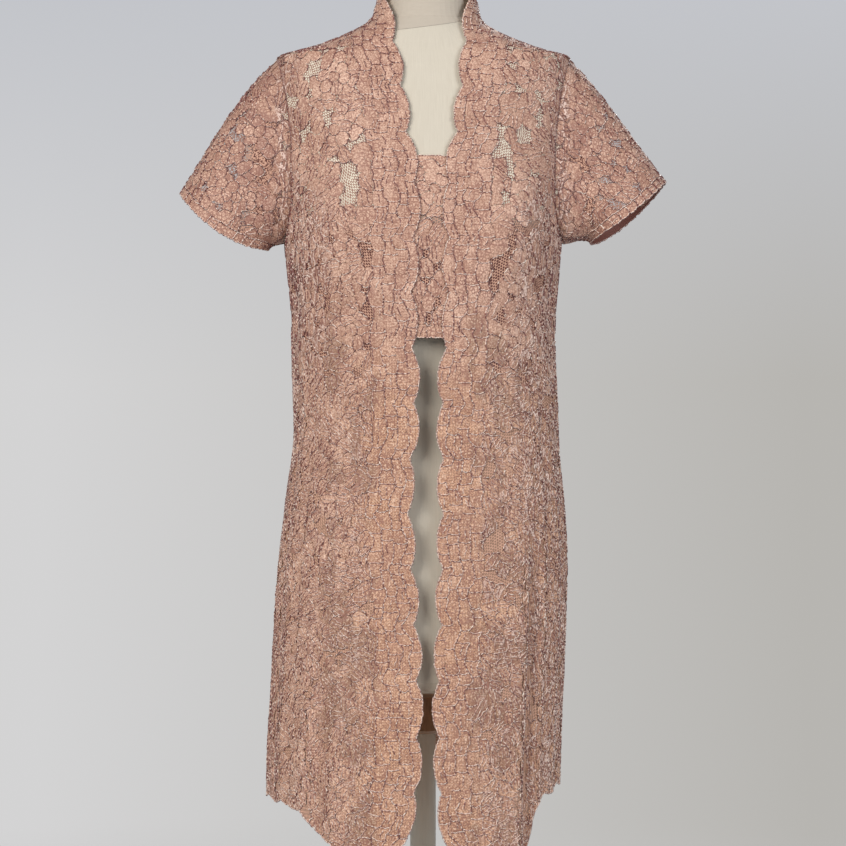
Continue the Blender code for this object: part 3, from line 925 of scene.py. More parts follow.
def drawBand(panel, chart, columns, rowsAt, pitch, skip=None):
    # columns of cells beside an edge: chart(d, t) gives places, d is the distance from the edge
    outlines, drawn = [], []
    for c, (d0, d1) in enumerate(zip(columns, columns[1:])):
        rows = rowsAt(c)
        whole = [panel.random.random() < band["joinedRungs"] for _ in rows]
        whole[0] = whole[-1] = False
        for r, (t0, t1) in enumerate(zip(rows, rows[1:])):
            if skip and skip(c, t0, t1):
                continue
            h0, h1 = t0 * pitch, t1 * pitch
            sag = panel.random.uniform(*band["sags"])
            bulge = panel.random.uniform(*band["bulges"])
            corners = [(d0, h0), (d1, h0), (d1, h1), (d0, h1)]
            bends = (sag, bulge, -sag * band["upperSag"], bulge)
            joined = (whole[r], False, whole[r + 1], False)
            outline = []
            for a, b, bend, free in zip(corners, corners[1:] + corners[:1], bends, joined):
                outline += [(*p, free) for p in arched(a, b, bend, lace["outlineStep"])]
            outlines.append(shapedOutline(outline, lace["petalInset"]))
            if not whole[r + 1]:
                drawn.append(arched((d0, h1), (d1, h1), sag, lace["cordStep"]) + [(d1, h1)])
            if panel.random.random() < band["uprights"]:
                bow = panel.random.choice((-1, 1)) * panel.random.uniform(*band["bows"])
                drawn.append(arched((d1, h0), (d1, h1), bow, lace["cordStep"]) + [(d1, h1)])
            if panel.random.random() < band["ribs"] and h1 - h0 > band["ribFrom"]:
                d = d0 + (d1 - d0) * panel.random.uniform(*band["ribPlaces"])
                drawn.append([(d, h0 + (h1 - h0) * s) for s in np.linspace(*band["ribSpan"], 5)])
    flat = np.concatenate([shape for shape, joined in outlines])
    us, vs = np.broadcast_arrays(*chart(flat[:, 0], flat[:, 1] / pitch))
    end = 0
    for shape, joined in outlines:
        start, end = end, end + len(shape)
        tone = panel.random.uniform(*band["tones"])
        dome = panel.random.uniform(*band["domes"])
        panel.layPetal(us[start:end], vs[start:end], joined, tone, dome)
    for line in drawn:
        if len(line) > 2:
            addCord(panel, chart, line, pitch, lace["bandCord"])


def addCord(panel, chart, line, pitch, thickness=1.0, lift=0.0):
    line = np.array(line)
    us, vs = np.broadcast_arrays(*chart(line[:, 0], line[:, 1] / pitch))
    panel.layCord(us, vs, lace["cordLift"] + lift, thickness)


def addEdgeCord(panel, chart, d, places, pitch):
    addCord(panel, chart, [(d, t * pitch) for t in places], pitch, lace["edgeCord"], lace["edgeLift"])


def startsOf(counts):
    return np.concatenate([[0], np.cumsum(counts)[:-1]])


def addMesh(name, points, faces, finish):
    # faces come as arrays, one for each number of corners
    mesh = bpy.data.meshes.new(name)
    sizes = np.concatenate([np.full(len(f), f.shape[1]) for f in faces])
    loops = np.concatenate([f.ravel() for f in faces])
    mesh.vertices.add(len(points))
    mesh.vertices.foreach_set("co", np.asarray(points, np.float32).ravel())
    mesh.loops.add(len(loops))
    mesh.loops.foreach_set("vertex_index", loops.astype(np.int32))
    mesh.polygons.add(len(sizes))
    mesh.polygons.foreach_set("loop_start", startsOf(sizes).astype(np.int32))
    mesh.update(calc_edges=True)
    mesh.polygons.foreach_set("use_smooth", np.full(len(sizes), True))
    mesh.materials.append(finish.material)
    made = bpy.data.objects.new(name, mesh)
    scene.collection.objects.link(made)
    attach(made, "root")
    return made


def carry(made, name, values):
    layer = made.data.attributes.new(name, "FLOAT", "POINT")
    layer.data.foreach_set("value", np.asarray(values, np.float32))


def lookOutward(points, out, faces):
    # above 0 for faces that look the way of the surface
    a, b, c = points[faces[:, 0]], points[faces[:, 1]], points[faces[:, 2]]
    return np.sum(np.cross(b - a, c - a) * out[faces[:, 0]], -1)


def facesOutward(points, out, faces):
    turned = lookOutward(points, out, faces) < 0
    faces[turned] = faces[turned][:, ::-1]
    return faces


def petalMesh(panel, finish):
    # each petal: its rim, a ring a little way in, and its middle
    counts = np.array([len(rim) for rim in panel.rims])
    owners = np.repeat(np.arange(len(counts)), counts)
    starts = startsOf(counts)
    rims, middles = np.concatenate(panel.rims), np.array(panel.middles)
    total = len(rims)
    inward = panel.point(*middles.T)[owners] - panel.point(*rims.T)
    share = lace["turnIn"] / np.maximum(np.linalg.norm(inward, axis=1), 1e-9)
    rings = rims + (middles[owners] - rims) * np.minimum(share, lace["mostTurnIn"])[:, None]
    domes, tones = np.array(panel.domes), np.array(panel.tones)
    us, vs = np.concatenate([rims, rings, middles]).T
    joined = np.concatenate(panel.joined)
    ringLifts = lace["ringDome"] * domes[owners]
    lifts = np.concatenate([ringLifts * joined, ringLifts, domes])
    points = panel.raised(us, vs, lifts + lace["rimLift"])
    out = panel.normal(us, vs)
    i = np.arange(total)
    j = np.where(i + 1 < (starts + counts)[owners], i + 1, starts[owners])
    quads = np.stack([i, j, total + j, total + i], 1)
    tris = np.stack([total + i, total + j, 2 * total + owners], 1)
    faces = [facesOutward(points, out, quads), facesOutward(points, out, tris)]
    made = addMesh(panel.name + "_clothwork", points, faces, finish)
    carry(made, "tone", np.concatenate([tones[owners], tones[owners], tones]))
    # marks the rims that have a cord beside them, where the finish paints shade
    carry(made, "edge", np.concatenate([1 - joined, np.zeros(total + len(counts))]))
    return made


# brightness along the cords, from 0 for the dark thread to 1 for the bright one; partly painted light,
# lighter on the lampward side and on the tops of level cords high up
ply = {
    "lampward": (-0.3, 0.0, 0.95),
    "top": 0.30,
    # painted highlight on the tops of level cords
    "topLevel": 0.36,       # added where a cord lies level, high up
    "topLow": 0.23,         # added low down
    "beads": 0.26,
    "uneven": 0.18,
    "edgeMean": 0.57,       # edge cords are more even
    "edgeShare": 0.5,
    "lowMean": 0.55,        # and so are all cords low down
    "lowShare": 0.6,
    "highFrom": 0.95,
    "highOver": 0.15,
}


def plyAlong(sides, heights, fromStart, thick, noise):
    # beads alternate along a cord, and its lampward side is painted lighter than the other, with a
    # painted highlight on the tops of level cords high up
    upper = sides @ np.array(ply["lampward"])
    beads = np.where(fromStart % 2 == 0, 1, -1) * noise.uniform(0.3, 1, len(heights))
    high = softStep((heights - ply["highFrom"]) / ply["highOver"])
    top = ply["top"] + ply["topLevel"] * np.abs(upper) * high + ply["topLow"] * (1 - high)
    shown = np.stack([top, 0.5 - 0.5 * upper, 0.5 + 0.5 * upper], 1)
    uneven = noise.uniform(-ply["uneven"], ply["uneven"], len(heights))
    shown += (ply["beads"] * beads + uneven)[:, None]
    shown[thick] = ply["edgeMean"] + ply["edgeShare"] * (shown[thick] - 0.5)
    share = ply["lowShare"] + (1 - ply["lowShare"]) * high
    shown = ply["lowMean"] + (shown - ply["lowMean"]) * share[:, None]
    return np.clip(shown, 0, 1)


def cordMesh(panel, finish):
    # three-sided cords that waver over the cloth, closed at both ends
    counts = np.array([len(line) for line in panel.cords])
    places = np.concatenate(panel.cords)
    radii = np.repeat(panel.radii, counts)
    starts = startsOf(counts)
    ends = starts + counts - 1
    line = np.repeat(np.arange(len(counts)), counts)
    at = np.arange(len(places))
    before = np.maximum(at - 1, starts[line])
    after = np.minimum(at + 1, ends[line])
    normals = panel.normal(places[:, 0], places[:, 1])
    points = panel.raised(places[:, 0], places[:, 1], places[:, 2])
    sides = unit(np.cross(unit(points[after] - points[before]), normals))
    inner = (at != before) & (at != after)
    noise = np.random.default_rng(len(places))
    points = points + sides * (noise.uniform(-1, 1, len(points)) * lace["waver"] * inner)[:, None]
    rings = []
    for k in range(3):
        turn = math.pi / 2 + math.tau * k / 3
        rings.append(points + (sides * math.cos(turn) + normals * math.sin(turn)) * radii[:, None])
    low = at[at != after] * 3
    corners = ((0, 1), (1, 2), (2, 0))
    quads = [np.stack([low + k, low + 3 + k, low + 3 + n, low + n], 1) for k, n in corners]
    caps = [starts[:, None] * 3 + np.array((0, 1, 2)), ends[:, None] * 3 + np.array((2, 1, 0))]
    faces = [np.concatenate(quads), np.concatenate(caps)]
    made = addMesh(panel.name + "_cords", np.stack(rings, 1).reshape(-1, 3), faces, finish)
    thick = radii >= lace["cordRadius"] * lace["edgeCord"]
    carry(made, "ply", plyAlong(sides, points[:, 2], at - starts[line], thick, noise).ravel())
    return made


def netMesh(panel, us, vs, finish, middles):
    # the ground of the lace in rows of columns, with its map measured from the middle columns
    rows, columns = us.shape
    points = panel.raised(us, vs, np.full(us.shape, lace["netLift"]))
    acrossSteps = np.linalg.norm(np.diff(points, axis=1), axis=2)
    upSteps = np.linalg.norm(np.diff(points, axis=0), axis=2)
    across = np.concatenate([np.zeros((rows, 1)), np.cumsum(acrossSteps, 1)], 1)
    up = np.concatenate([np.zeros((1, columns)), np.cumsum(upSteps, 0)], 0)
    row, column = (grid.ravel() for grid in np.mgrid[:rows - 1, :columns - 1])
    cornerRows = np.stack([row, row, row + 1, row + 1], 1)
    cornerColumns = np.stack([column, column + 1, column + 1, column], 1)
    origins = np.array(middles)[column * len(middles) // (columns - 1)][:, None]
    quads = cornerRows * columns + cornerColumns
    flat = points.reshape(-1, 3)
    u = across[cornerRows, cornerColumns] - across[cornerRows, origins]
    places = np.stack([u, up[cornerRows, cornerColumns]], -1)
    if np.mean(lookOutward(flat, panel.normal(us, vs).reshape(-1, 3), quads)) < 0:
        quads, places = quads[:, ::-1], places[:, ::-1]
    made = addMesh(panel.name + "_net", flat, [quads], finish)
    layer = made.data.uv_layers.new(name="lace")
    layer.data.foreach_set("uv", np.ascontiguousarray(places, np.float32).ravel())
    return made


def threadLines(made, place, cell, bends, warp, width, shift=(0.0, 0.0, 0.0)):
    # thin threads wandering over the cloth, as the edges of bent cells
    field = made.node("TexNoise", {}, {"Vector": place, "Scale": bends, "Detail": 3.0}, 1)
    terms = {0: field, 1: (warp, warp, warp), 2: place}
    bent = made.node("VectorMath", {"operation": "MULTIPLY_ADD"}, terms)
    moved = made.node("VectorMath", {"operation": "SUBTRACT"}, {0: bent, 1: shift})
    cells = {"Vector": moved, "Scale": 1 / cell}
    edges = made.node("TexVoronoi", {"feature": "DISTANCE_TO_EDGE"}, cells)
    return made.spread(edges, width / cell, 0.4 * width / cell)


def stitches(made, place, size):
    # rows of small stitches that look the same from every side
    turned = made.node("VectorMath", {"operation": "SCALE"}, {0: place, 3: math.tau / size})
    across, deep, up = made.parts(turned)
    sines = [made.maths("SINE", part) for part in (across, deep, up)]
    cosines = [made.maths("COSINE", part) for part in (deep, up, across)]
    return sines[0] * cosines[0] + sines[1] * cosines[1] + sines[2] * cosines[2]


# colours of the petals; pairs are for the two ends of their tones
rose = {
    "warm": ((0.900, 0.585, 0.440), (0.670, 0.400, 0.288)),
    "tan": ((0.880, 0.510, 0.295), (0.635, 0.335, 0.172)),
    # painted light: paler cloth low on the wearer's right
    "paintedLightPaled": (0.860, 0.560, 0.440),
    "faded": (0.685, 0.415, 0.298),
    "mottle": (0.500, 0.262, 0.165),
    "opened": (0.350, 0.200, 0.122),
    # painted shade beside the armholes
    "paintedShadeDusk": (0.290, 0.125, 0.105),
    "weave": (0.340, 0.152, 0.110),
    "knit": (0.270, 0.112, 0.072),
    "fleck": (0.960, 0.710, 0.560),
    "fineThread": (0.330, 0.145, 0.108),
    # painted shadow line beside the drawn cords
    "cordPaintedShadow": (0.185, 0.062, 0.050),
    "cordLight": (0.950, 0.720, 0.620),
    # painted shade along the petals' rims beside the cords
    "rim": (0.260, 0.108, 0.088),
}

# sizes of stitches and cells of thread, and how the threads bend
threads = {
    "stitch": 0.0033,
    "fine": {"cell": 0.0048, "bends": 260.0, "warp": 0.0020, "width": 0.0007},
    "drawn": {"cell": 0.0078, "bends": 300.0, "warp": 0.0026},
    "light": {"width": 0.0006},
    # a painted shadow line, shifted to one side of each light line
    "shade": {"width": 0.0014, "shift": (0.0010, 0.0, 0.0)},
}


def clothworkFinish():
    made = Finish("dusty_rose_clothwork", Roughness=0.62, Sheen_Weight=0.2, Sheen_Roughness=0.4)
    here = made.here()
    x, y, z = made.parts(here)
    reach = made.maths("ABSOLUTE", x)
    tone = made.carried("tone")
    grain = made.noise(here, 560.0, 2.0)

    # the petals' colour by tone, tan and darker in the skirt, and paler low on the wearer's right,
    # where light is painted
    low = 1 - made.spread(z, 0.90, 1.08)
    # painted light: paler cloth and fewer drawn cords low on the wearer's right
    paintedLightLowRight = low * made.spread(x, -0.115, -0.060, 1, 0)
    lit = made.blend(low * 0.75, made.blend(tone, *rose["warm"]), made.blend(tone, *rose["tan"]))
    paintedLightPaled = made.blend(paintedLightLowRight * 0.5, lit, rose["paintedLightPaled"])
    faded = made.blend(made.spread(made.noise(here, 9.0), 0.35, 0.7, 0, 0.45), paintedLightPaled, rose["faded"])
    mottle = made.spread(made.noise(here, 30.0), 0.45, 0.65, 0, 0.35)
    mottled = made.blend(mottle, faded, rose["mottle"])

    # open patches of the skirt, and painted shade beside the armholes
    tall = made.vector(x, y, z * 0.55)
    skirt = (1 - made.spread(z, 1.00, 1.12)) * made.spread(reach, 0.045, 0.062)
    patches = made.spread(made.noise(tall, 30.0, 1.0), 0.52, 0.58, 0, 0.8)
    open = skirt * patches * (1 - made.spread(reach, 0.115, 0.135))
    opened = made.blend(open, mottled, rose["opened"])
    # painted shade in patches beside the armholes
    nearArm = made.spread(reach, 0.172, 0.190) * (1 - made.spread(reach, 0.212, 0.235))
    paintedShadeDusk = made.spread(made.noise(here, 45.0, 1.0), 0.44, 0.60, 0, 0.55)
    shaded = made.blend(nearArm * paintedShadeDusk, opened, rose["paintedShadeDusk"])

    # weave, stitches, flecks and fine threads
    woven = made.blend(made.spread(grain, 0.46, 0.64, 0, 0.66), shaded, rose["weave"])
    more = 1 + low * 0.5
    knit = made.spread(stitches(made, here, threads["stitch"]), 0.15, 0.75, 0, 0.42)
    knitted = made.blend(knit * more * (tone * 0.8 + 0.5), woven, rose["knit"])
    fleck = made.spread(1 - grain, 0.53, 0.66, 0, 0.44)
    flecked = made.blend(fleck * more, knitted, rose["fleck"])
    fine = threadLines(made, here, **threads["fine"])
    shown = made.maths("MAXIMUM", made.spread(made.noise(here, 55.0), 0.38, 0.62, 0.15, 0.75),
                       made.spread(reach, 0.178, 0.192) * 0.75)
    netted = made.blend(fine * shown, flecked, rose["fineThread"])

    # cords too thin to lie on the cloth, drawn upright at the sides and low down, each light line with
    # a painted shadow line beside it
    upright = made.vector(x, y, z * 0.30)
    # painted shadow: the same lines shifted to one side and drawn dark
    dark = threadLines(made, upright, **threads["drawn"], **threads["shade"])
    bright = threadLines(made, upright, **threads["drawn"], **threads["light"])
    outer = reach - made.spread(z, 1.17, 1.25) * 0.042
    atSide = made.spread(outer, 0.100, 0.130) * (1 - made.spread(reach, 0.174, 0.186))
    crowded = low * made.spread(reach, 0.055, 0.085) * made.spread(made.noise(here, 40.0), 0.35, 0.6)
    drawn = made.maths("MAXIMUM", atSide, crowded * 0.7) * (1 - paintedLightLowRight * 0.75)
    beaded = made.spread(made.noise(here, 480.0, 1.0), 0.38, 0.56)
    lined = made.blend(dark * drawn * 0.5, netted, rose["cordPaintedShadow"])
    corded = made.blend(bright * drawn * beaded * 0.95, lined, rose["cordLight"])
    # painted shade along the petals' rims where a cord runs
    made.colour(made.blend(made.spread(made.carried("edge"), 0.45, 1.0, 0, 0.35), corded, rose["rim"]))
    made.bump(grain * 0.5 + fine * 0.3 + bright * drawn * 0.7, 0.7, 0.0006)
    return made


mauve = {
    "dark": ((0.150, 0.040, 0.038), (0.290, 0.105, 0.090)),
    "bright": ((0.840, 0.530, 0.430), (1.000, 0.850, 0.740)),
}


def cordFinish():
    # bright and dark knots, with painted shade beside the armholes
    made = Finish("mauve_cord", Roughness=0.36, Sheen_Weight=0.2)
    here = made.here()
    knots = made.noise(here, 420.0, 1.0)
    dark = made.blend(made.spread(knots, 0.4, 0.6), *mauve["dark"])
    bright = made.blend(made.spread(knots, 0.35, 0.6), *mauve["bright"])
    x, _, z = made.parts(here)
    reach = made.maths("ABSOLUTE", x)
    # painted shade: the cords are darkened beside the armholes
    beside = made.spread(reach, 0.158, 0.166) * (1 - made.spread(reach, 0.184, 0.192))
    armhole = beside * made.spread(z, 1.14, 1.20)
    share = made.spread(made.carried("ply"), 0.46, 0.64) * (1 - armhole * 0.7)
    made.colour(made.blend(share, dark, bright))
    return made


# the holes are filled in with painted colour: painted shade where they lie deep in the blouse, painted
# light elsewhere
ground = {
    "pitch": 0.0034,
    # the painted fill covers the holes this much, and more where shade is painted
    "paintedLightAndShadeCover": 0.86,           # how much the holes cover, and what is added in shade
    "paintedShadeTint": 0.08,
    "deep": ((0.105, 0.022, 0.016), (0.340, 0.190, 0.125)),
    "paintedShadeInSleeve": (0.200, 0.075, 0.050),
    "paintedLightSheer": ((0.980, 0.880, 0.715), (0.560, 0.540, 0.545)),
    "dimThread": ((0.250, 0.105, 0.072), (0.400, 0.205, 0.145)),
    "warmThread": ((0.580, 0.320, 0.220), (0.740, 0.440, 0.320)),
    "paintedShadeSleeveThread": (0.235, 0.080, 0.062),
}


def netFinish():
    # round holes in rows, filled in with painted colour: painted shade under the bust, beside the
    # armholes and inside the sleeves, and painted light elsewhere, cream on the body and grey-white out
    # on the sleeves
    made = Finish("net_ground", Roughness=0.7)
    here = made.here()
    x, y, z = made.parts(here)
    reach = made.maths("ABSOLUTE", x)
    u, v, _ = made.parts(made.mapped("lace"))
    k = 4 * math.pi / (math.sqrt(3) * ground["pitch"])
    waves = made.maths("COSINE", u * k)
    for side in (-1, 1):
        waves = waves + made.maths("COSINE", u * (-0.5 * k) + v * (side * math.sqrt(0.75) * k))
    uneven = (made.noise(here, 230.0, 1.0) - 0.5) * 3.6
    even = 1 - made.spread(waves + uneven, -0.55, -0.15)
    loose = made.spread(made.noise(here, 640.0, 1.0), 0.44, 0.52)
    thread = even + (loose - even) * made.spread(reach, 0.178, 0.190)

    # where shade is painted: under the bust, beside the armholes and inside the sleeves
    under = 1 - made.spread(z, 1.150, 1.205)
    beside = made.spread(reach, 0.165, 0.180) * (1 - made.spread(reach, 0.205, 0.225))
    inner = made.spread(y, 0.0, 0.02) * made.spread(reach, 0.185, 0.200)
    shade = made.maths("MAXIMUM", made.maths("MAXIMUM", under, beside), inner)
    # painted shade in the holes, dark maroon with a browner tone low down
    deep = made.blend(1 - made.spread(z, 0.93, 1.02), *ground["deep"])
    dark = made.blend(inner, deep, ground["paintedShadeInSleeve"])
    # painted light in the holes: cream over the body, grey-white out on the sleeves
    paintedLightSheer = made.blend(made.spread(reach, 0.200, 0.225), *ground["paintedLightSheer"])
    varied = made.noise(here, 300.0)
    dim, warm = (made.blend(varied, *ground[name]) for name in ("dimThread", "warmThread"))
    # threads inside the sleeves are darkened with painted shade
    strand = made.blend(inner, made.blend(shade, dim, warm), ground["paintedShadeSleeveThread"])
    cover = shade * ground["paintedShadeTint"] + ground["paintedLightAndShadeCover"]
    made.feed(made.shader.inputs["Alpha"], made.maths("MAXIMUM", thread, cover))
    made.colour(made.blend(thread, made.blend(shade, paintedLightSheer, dark), strand))
    return made


clothwork = clothworkFinish()
cording = cordFinish()
netting = netFinish()
print("finishes made")


def finishPanel(panel, nodes, us, vs, middles):
    net = netMesh(panel, us, vs, netting, middles)
    petals = petalMesh(panel, clothwork)
    cords = cordMesh(panel, cording)
    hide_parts(*nodes)
    faces = [sum(len(p.vertices) - 2 for p in piece.data.polygons) for piece in (net, petals, cords)]
    print(panel.name, "petals", len(panel.rims), "cords", len(panel.cords), "triangles", faces)


# where the ground shows between the flowers: x, height, half width, half height
openPlaces = (
    (-0.133, 1.357, 0.009, 0.010), (-0.1425, 1.347, 0.006, 0.007), (-0.162, 1.320, 0.006, 0.008),
    (-0.115, 1.292, 0.005, 0.012), (-0.087, 1.258, 0.007, 0.007), (-0.0555, 1.256, 0.007, 0.007),
    (-0.088, 1.225, 0.011, 0.014), (-0.088, 1.196, 0.009, 0.011), (-0.044, 1.173, 0.004, 0.007),
    (-0.061, 1.150, 0.005, 0.007), (-0.075, 1.139, 0.005, 0.006), (-0.0635, 1.121, 0.009, 0.007),
    (-0.117, 1.070, 0.005, 0.009), (-0.0725, 1.087, 0.004, 0.005), (-0.069, 1.060, 0.007, 0.009),
    (-0.057, 1.042, 0.010, 0.006), (-0.1245, 1.1165, 0.004, 0.007),
    (0.116, 1.330, 0.007, 0.006), (0.0915, 1.340, 0.004, 0.007), (0.109, 1.359, 0.006, 0.007),
    (0.143, 1.296, 0.006, 0.013), (0.1207, 1.272, 0.009, 0.009), (0.0915, 1.2826, 0.005, 0.006),
    (0.096, 1.253, 0.010, 0.009), (0.103, 1.229, 0.004, 0.011), (0.078, 1.2915, 0.005, 0.005),
    (0.098, 1.195, 0.007, 0.009), (0.072, 1.191, 0.003, 0.007), (0.067, 1.159, 0.004, 0.013),
    (0.107, 1.139, 0.007, 0.012), (0.095, 1.115, 0.007, 0.012), (0.087, 1.094, 0.006, 0.010),
    (0.0645, 1.049, 0.007, 0.008), (0.060, 1.078, 0.003, 0.009), (0.0935, 1.0535, 0.007, 0.010),
    (0.150, 1.142, 0.005, 0.007), (0.003, 1.128, 0.007, 0.006), (0.017, 1.110, 0.007, 0.006),
    (0.004, 1.092, 0.006, 0.006), (0.016, 1.070, 0.006, 0.006), (0.006, 1.048, 0.006, 0.005),
    (-0.0455, 1.004, 0.006, 0.010), (-0.075, 0.942, 0.006, 0.007), (-0.054, 0.832, 0.006, 0.006),
    (-0.0645, 0.706, 0.010, 0.006), (-0.087, 0.7215, 0.008, 0.006), (0.080, 0.872, 0.008, 0.010),
    (0.087, 0.782, 0.012, 0.014), (0.085, 0.742, 0.008, 0.010), (0.114, 0.712, 0.007, 0.010),
    (0.058, 0.706, 0.004, 0.008), (-0.100, 0.640, 0.007, 0.008), (0.098, 0.600, 0.007, 0.009),
    (-0.228, 1.276, 0.009, 0.006), (-0.212, 1.262, 0.008, 0.006), (-0.199, 1.247, 0.007, 0.009),
    (-0.188, 1.238, 0.006, 0.010), (-0.197, 1.222, 0.009, 0.008), (-0.186, 1.290, 0.008, 0.007),
    (-0.236, 1.238, 0.006, 0.006), (-0.203, 1.185, 0.009, 0.005), (-0.180, 1.180, 0.006, 0.010),
    (-0.250, 1.190, 0.008, 0.005), (-0.215, 1.165, 0.010, 0.005),
    (0.236, 1.268, 0.009, 0.007), (0.214, 1.286, 0.006, 0.008), (0.198, 1.238, 0.007, 0.009),
    (0.222, 1.222, 0.009, 0.007), (0.250, 1.236, 0.006, 0.006), (0.203, 1.190, 0.007, 0.010),
    (0.236, 1.192, 0.010, 0.006), (0.262, 1.214, 0.006, 0.006), (0.216, 1.165, 0.009, 0.005),
)


def openAt(points, grown=1.0):
    x, y, z = points.T
    found = np.zeros(len(points), bool)
    for middle, height, halfWidth, halfHeight in openPlaces:
        found |= ((x - middle) / halfWidth) ** 2 + ((z - height) / halfHeight) ** 2 < grown ** 2
    return found & (y < 0)


def windowsIn(points):
    # for each open place, the points nearest to its middle, or to two or four middles where it is large
    found = []
    for middle, height, halfWidth, halfHeight in openPlaces:
        for x in (-0.5, 0.5) if halfWidth > 0.0085 else (0,):
            for z in (-0.5, 0.5) if halfHeight > 0.0085 else (0,):
                across = points[:, 0] - middle - x * halfWidth
                up = points[:, 2] - height - z * halfHeight
                away = np.hypot(across, up) + np.where(points[:, 1] < 0, 0, 9)
                if away.min() < 0.004:
                    found.append(int(away.argmin()))
    return found


leaves = {
    "stretch": 1.5,
    "upright": 0.85,        # how far they are turned upright at the sides
    "patchFrom": 1.5,       # the ground shows in patches at the back, over this height
    "patchesOver": 0.52,
    "patchShare": 0.62,
}


def grainOf(points, side, most):
    # long direction of the small leaves, how far they are stretched, and how open the ground is
    x, y, z = points.T
    turns = 1.0 * np.sin(x * 37 + 1.3 * np.sin(z * 23)) + 0.8 * np.sin(z * 41 + y * 31)
    stretches = leaves["stretch"] + (most - leaves["stretch"]) * side
    patches = np.sin(x * 96 + 2.1 * np.sin(z * 31)) + np.sin(z * 88 + 1.9 * np.sin(x * 41 + y * 25))
    patched = (patches > leaves["patchFrom"]) & (y > 0) & (z > leaves["patchesOver"])
    openings = np.where(patched, leaves["patchShare"], 0.0)
    openings[openAt(points)] = 1.0
    return turns * (1 - leaves["upright"] * side), stretches, openings


fronts = {
    "columns": (0.0, 0.0118, 0.0245, 0.0385, 0.0530),   # the border's columns of cells
    "rungs": 3.9,               # cells in a column for each lobe
    "rungStarts": (0.0, 0.5, 0.2, 0.65),
    "rungShift": 0.22,
    "waveFade": 0.125,
    "sway": 0.0018,
    "swayRate": 1.7,
    "spacing": 0.0110,
    "ribShare": 0.6,
    "sideStart": 48,            # cells are upright from this angle on,
    "sideWidth": 16,
    "sideStretch": 2.4,
    "armholeFrom": 1.17,        # less beside the armholes
    "armholeOver": 0.08,
    "armholeShare": 0.8,
    "lowFrom": 0.95,            # and low on the wearer's right
    "lowOver": 0.15,
    "lowShare": 0.85,
    "flowers": (0.088, 0.158),  # distances from the edge
    "flowerRows": 12,
    "firstRow": 0.9,
    "rowPitch": 1.28,
    "rowOffset": 0.64,
    "rowShift": 0.15,
    "flowerShift": 0.006,
    "candidates": 36000,
    "shoulderCandidates": 9000,
    "netColumns": (9, 20),
    "seed": 17,
    "flat": (0.265, 1.09),
    "area": 0.232,
}


def sideShare(angle, height):
    turned = turnBetween(angle, 0)
    off = np.minimum(np.abs(turned), 180 - np.abs(turned))
    share = softStep((off - fronts["sideStart"]) / fronts["sideWidth"])
    high = softStep((height - fronts["armholeFrom"]) / fronts["armholeOver"])
    low = softStep((fronts["lowFrom"] - height) / fronts["lowOver"])
    return share * (1 - fronts["armholeShare"] * high) * (1 - fronts["lowShare"] * (turned < 0) * low)


def bodyGrain(us, vs, points):
    return grainOf(points, sideShare(us, vs), fronts["sideStretch"])


def edgeArc(side, height):
    return arcAt(side * angleAt(edgeAt[side](height), height), height)


def frontChart(side):
    # places of a front from the distance to its scalloped edge and the count of lobes
    def chart(d, phase):
        height = scallopHeight(phase)
        wave = scallopWave(height) * np.clip(1 - d / fronts["waveFade"], 0, 1)
        sway = fronts["sway"] * np.sin(math.tau * fronts["swayRate"] * phase + 150 * d)
        moved = d + sway * np.clip(d / 0.010, 0, 1) * np.clip((0.066 - d) / 0.010, 0, 1)
        angle = angleAtArc(edgeArc(side, height) - wave + moved, height)
        return side * angle, hemRow(height, angle, side)
    return chart


def frontReach(side, height):
    return arcAt(seamAngle(side, height, True), height) - edgeArc(side, height)


def hemRows(heights, angles, sides):
    return np.where(sides > 0, hemRow(heights, angles, 1), hemRow(heights, angles, -1))


def hemLine(angles, sides):
    # heights of the lowest row, for angles on either side
    return hemRows(np.full(len(angles), cloth["lowestHem"]), angles, sides)


armholeHeights = np.linspace(cloth["armpit"] + 0.002, cloth["shoulderTip"] - 0.001, 120)


def netHeights(top, rows, topRows):
    # the net's rows, closer over the shoulders
    low, high = np.linspace(cloth["lowestHem"], 1.37, rows), np.linspace(1.3725, top, topRows)
    return np.concatenate([low, high])


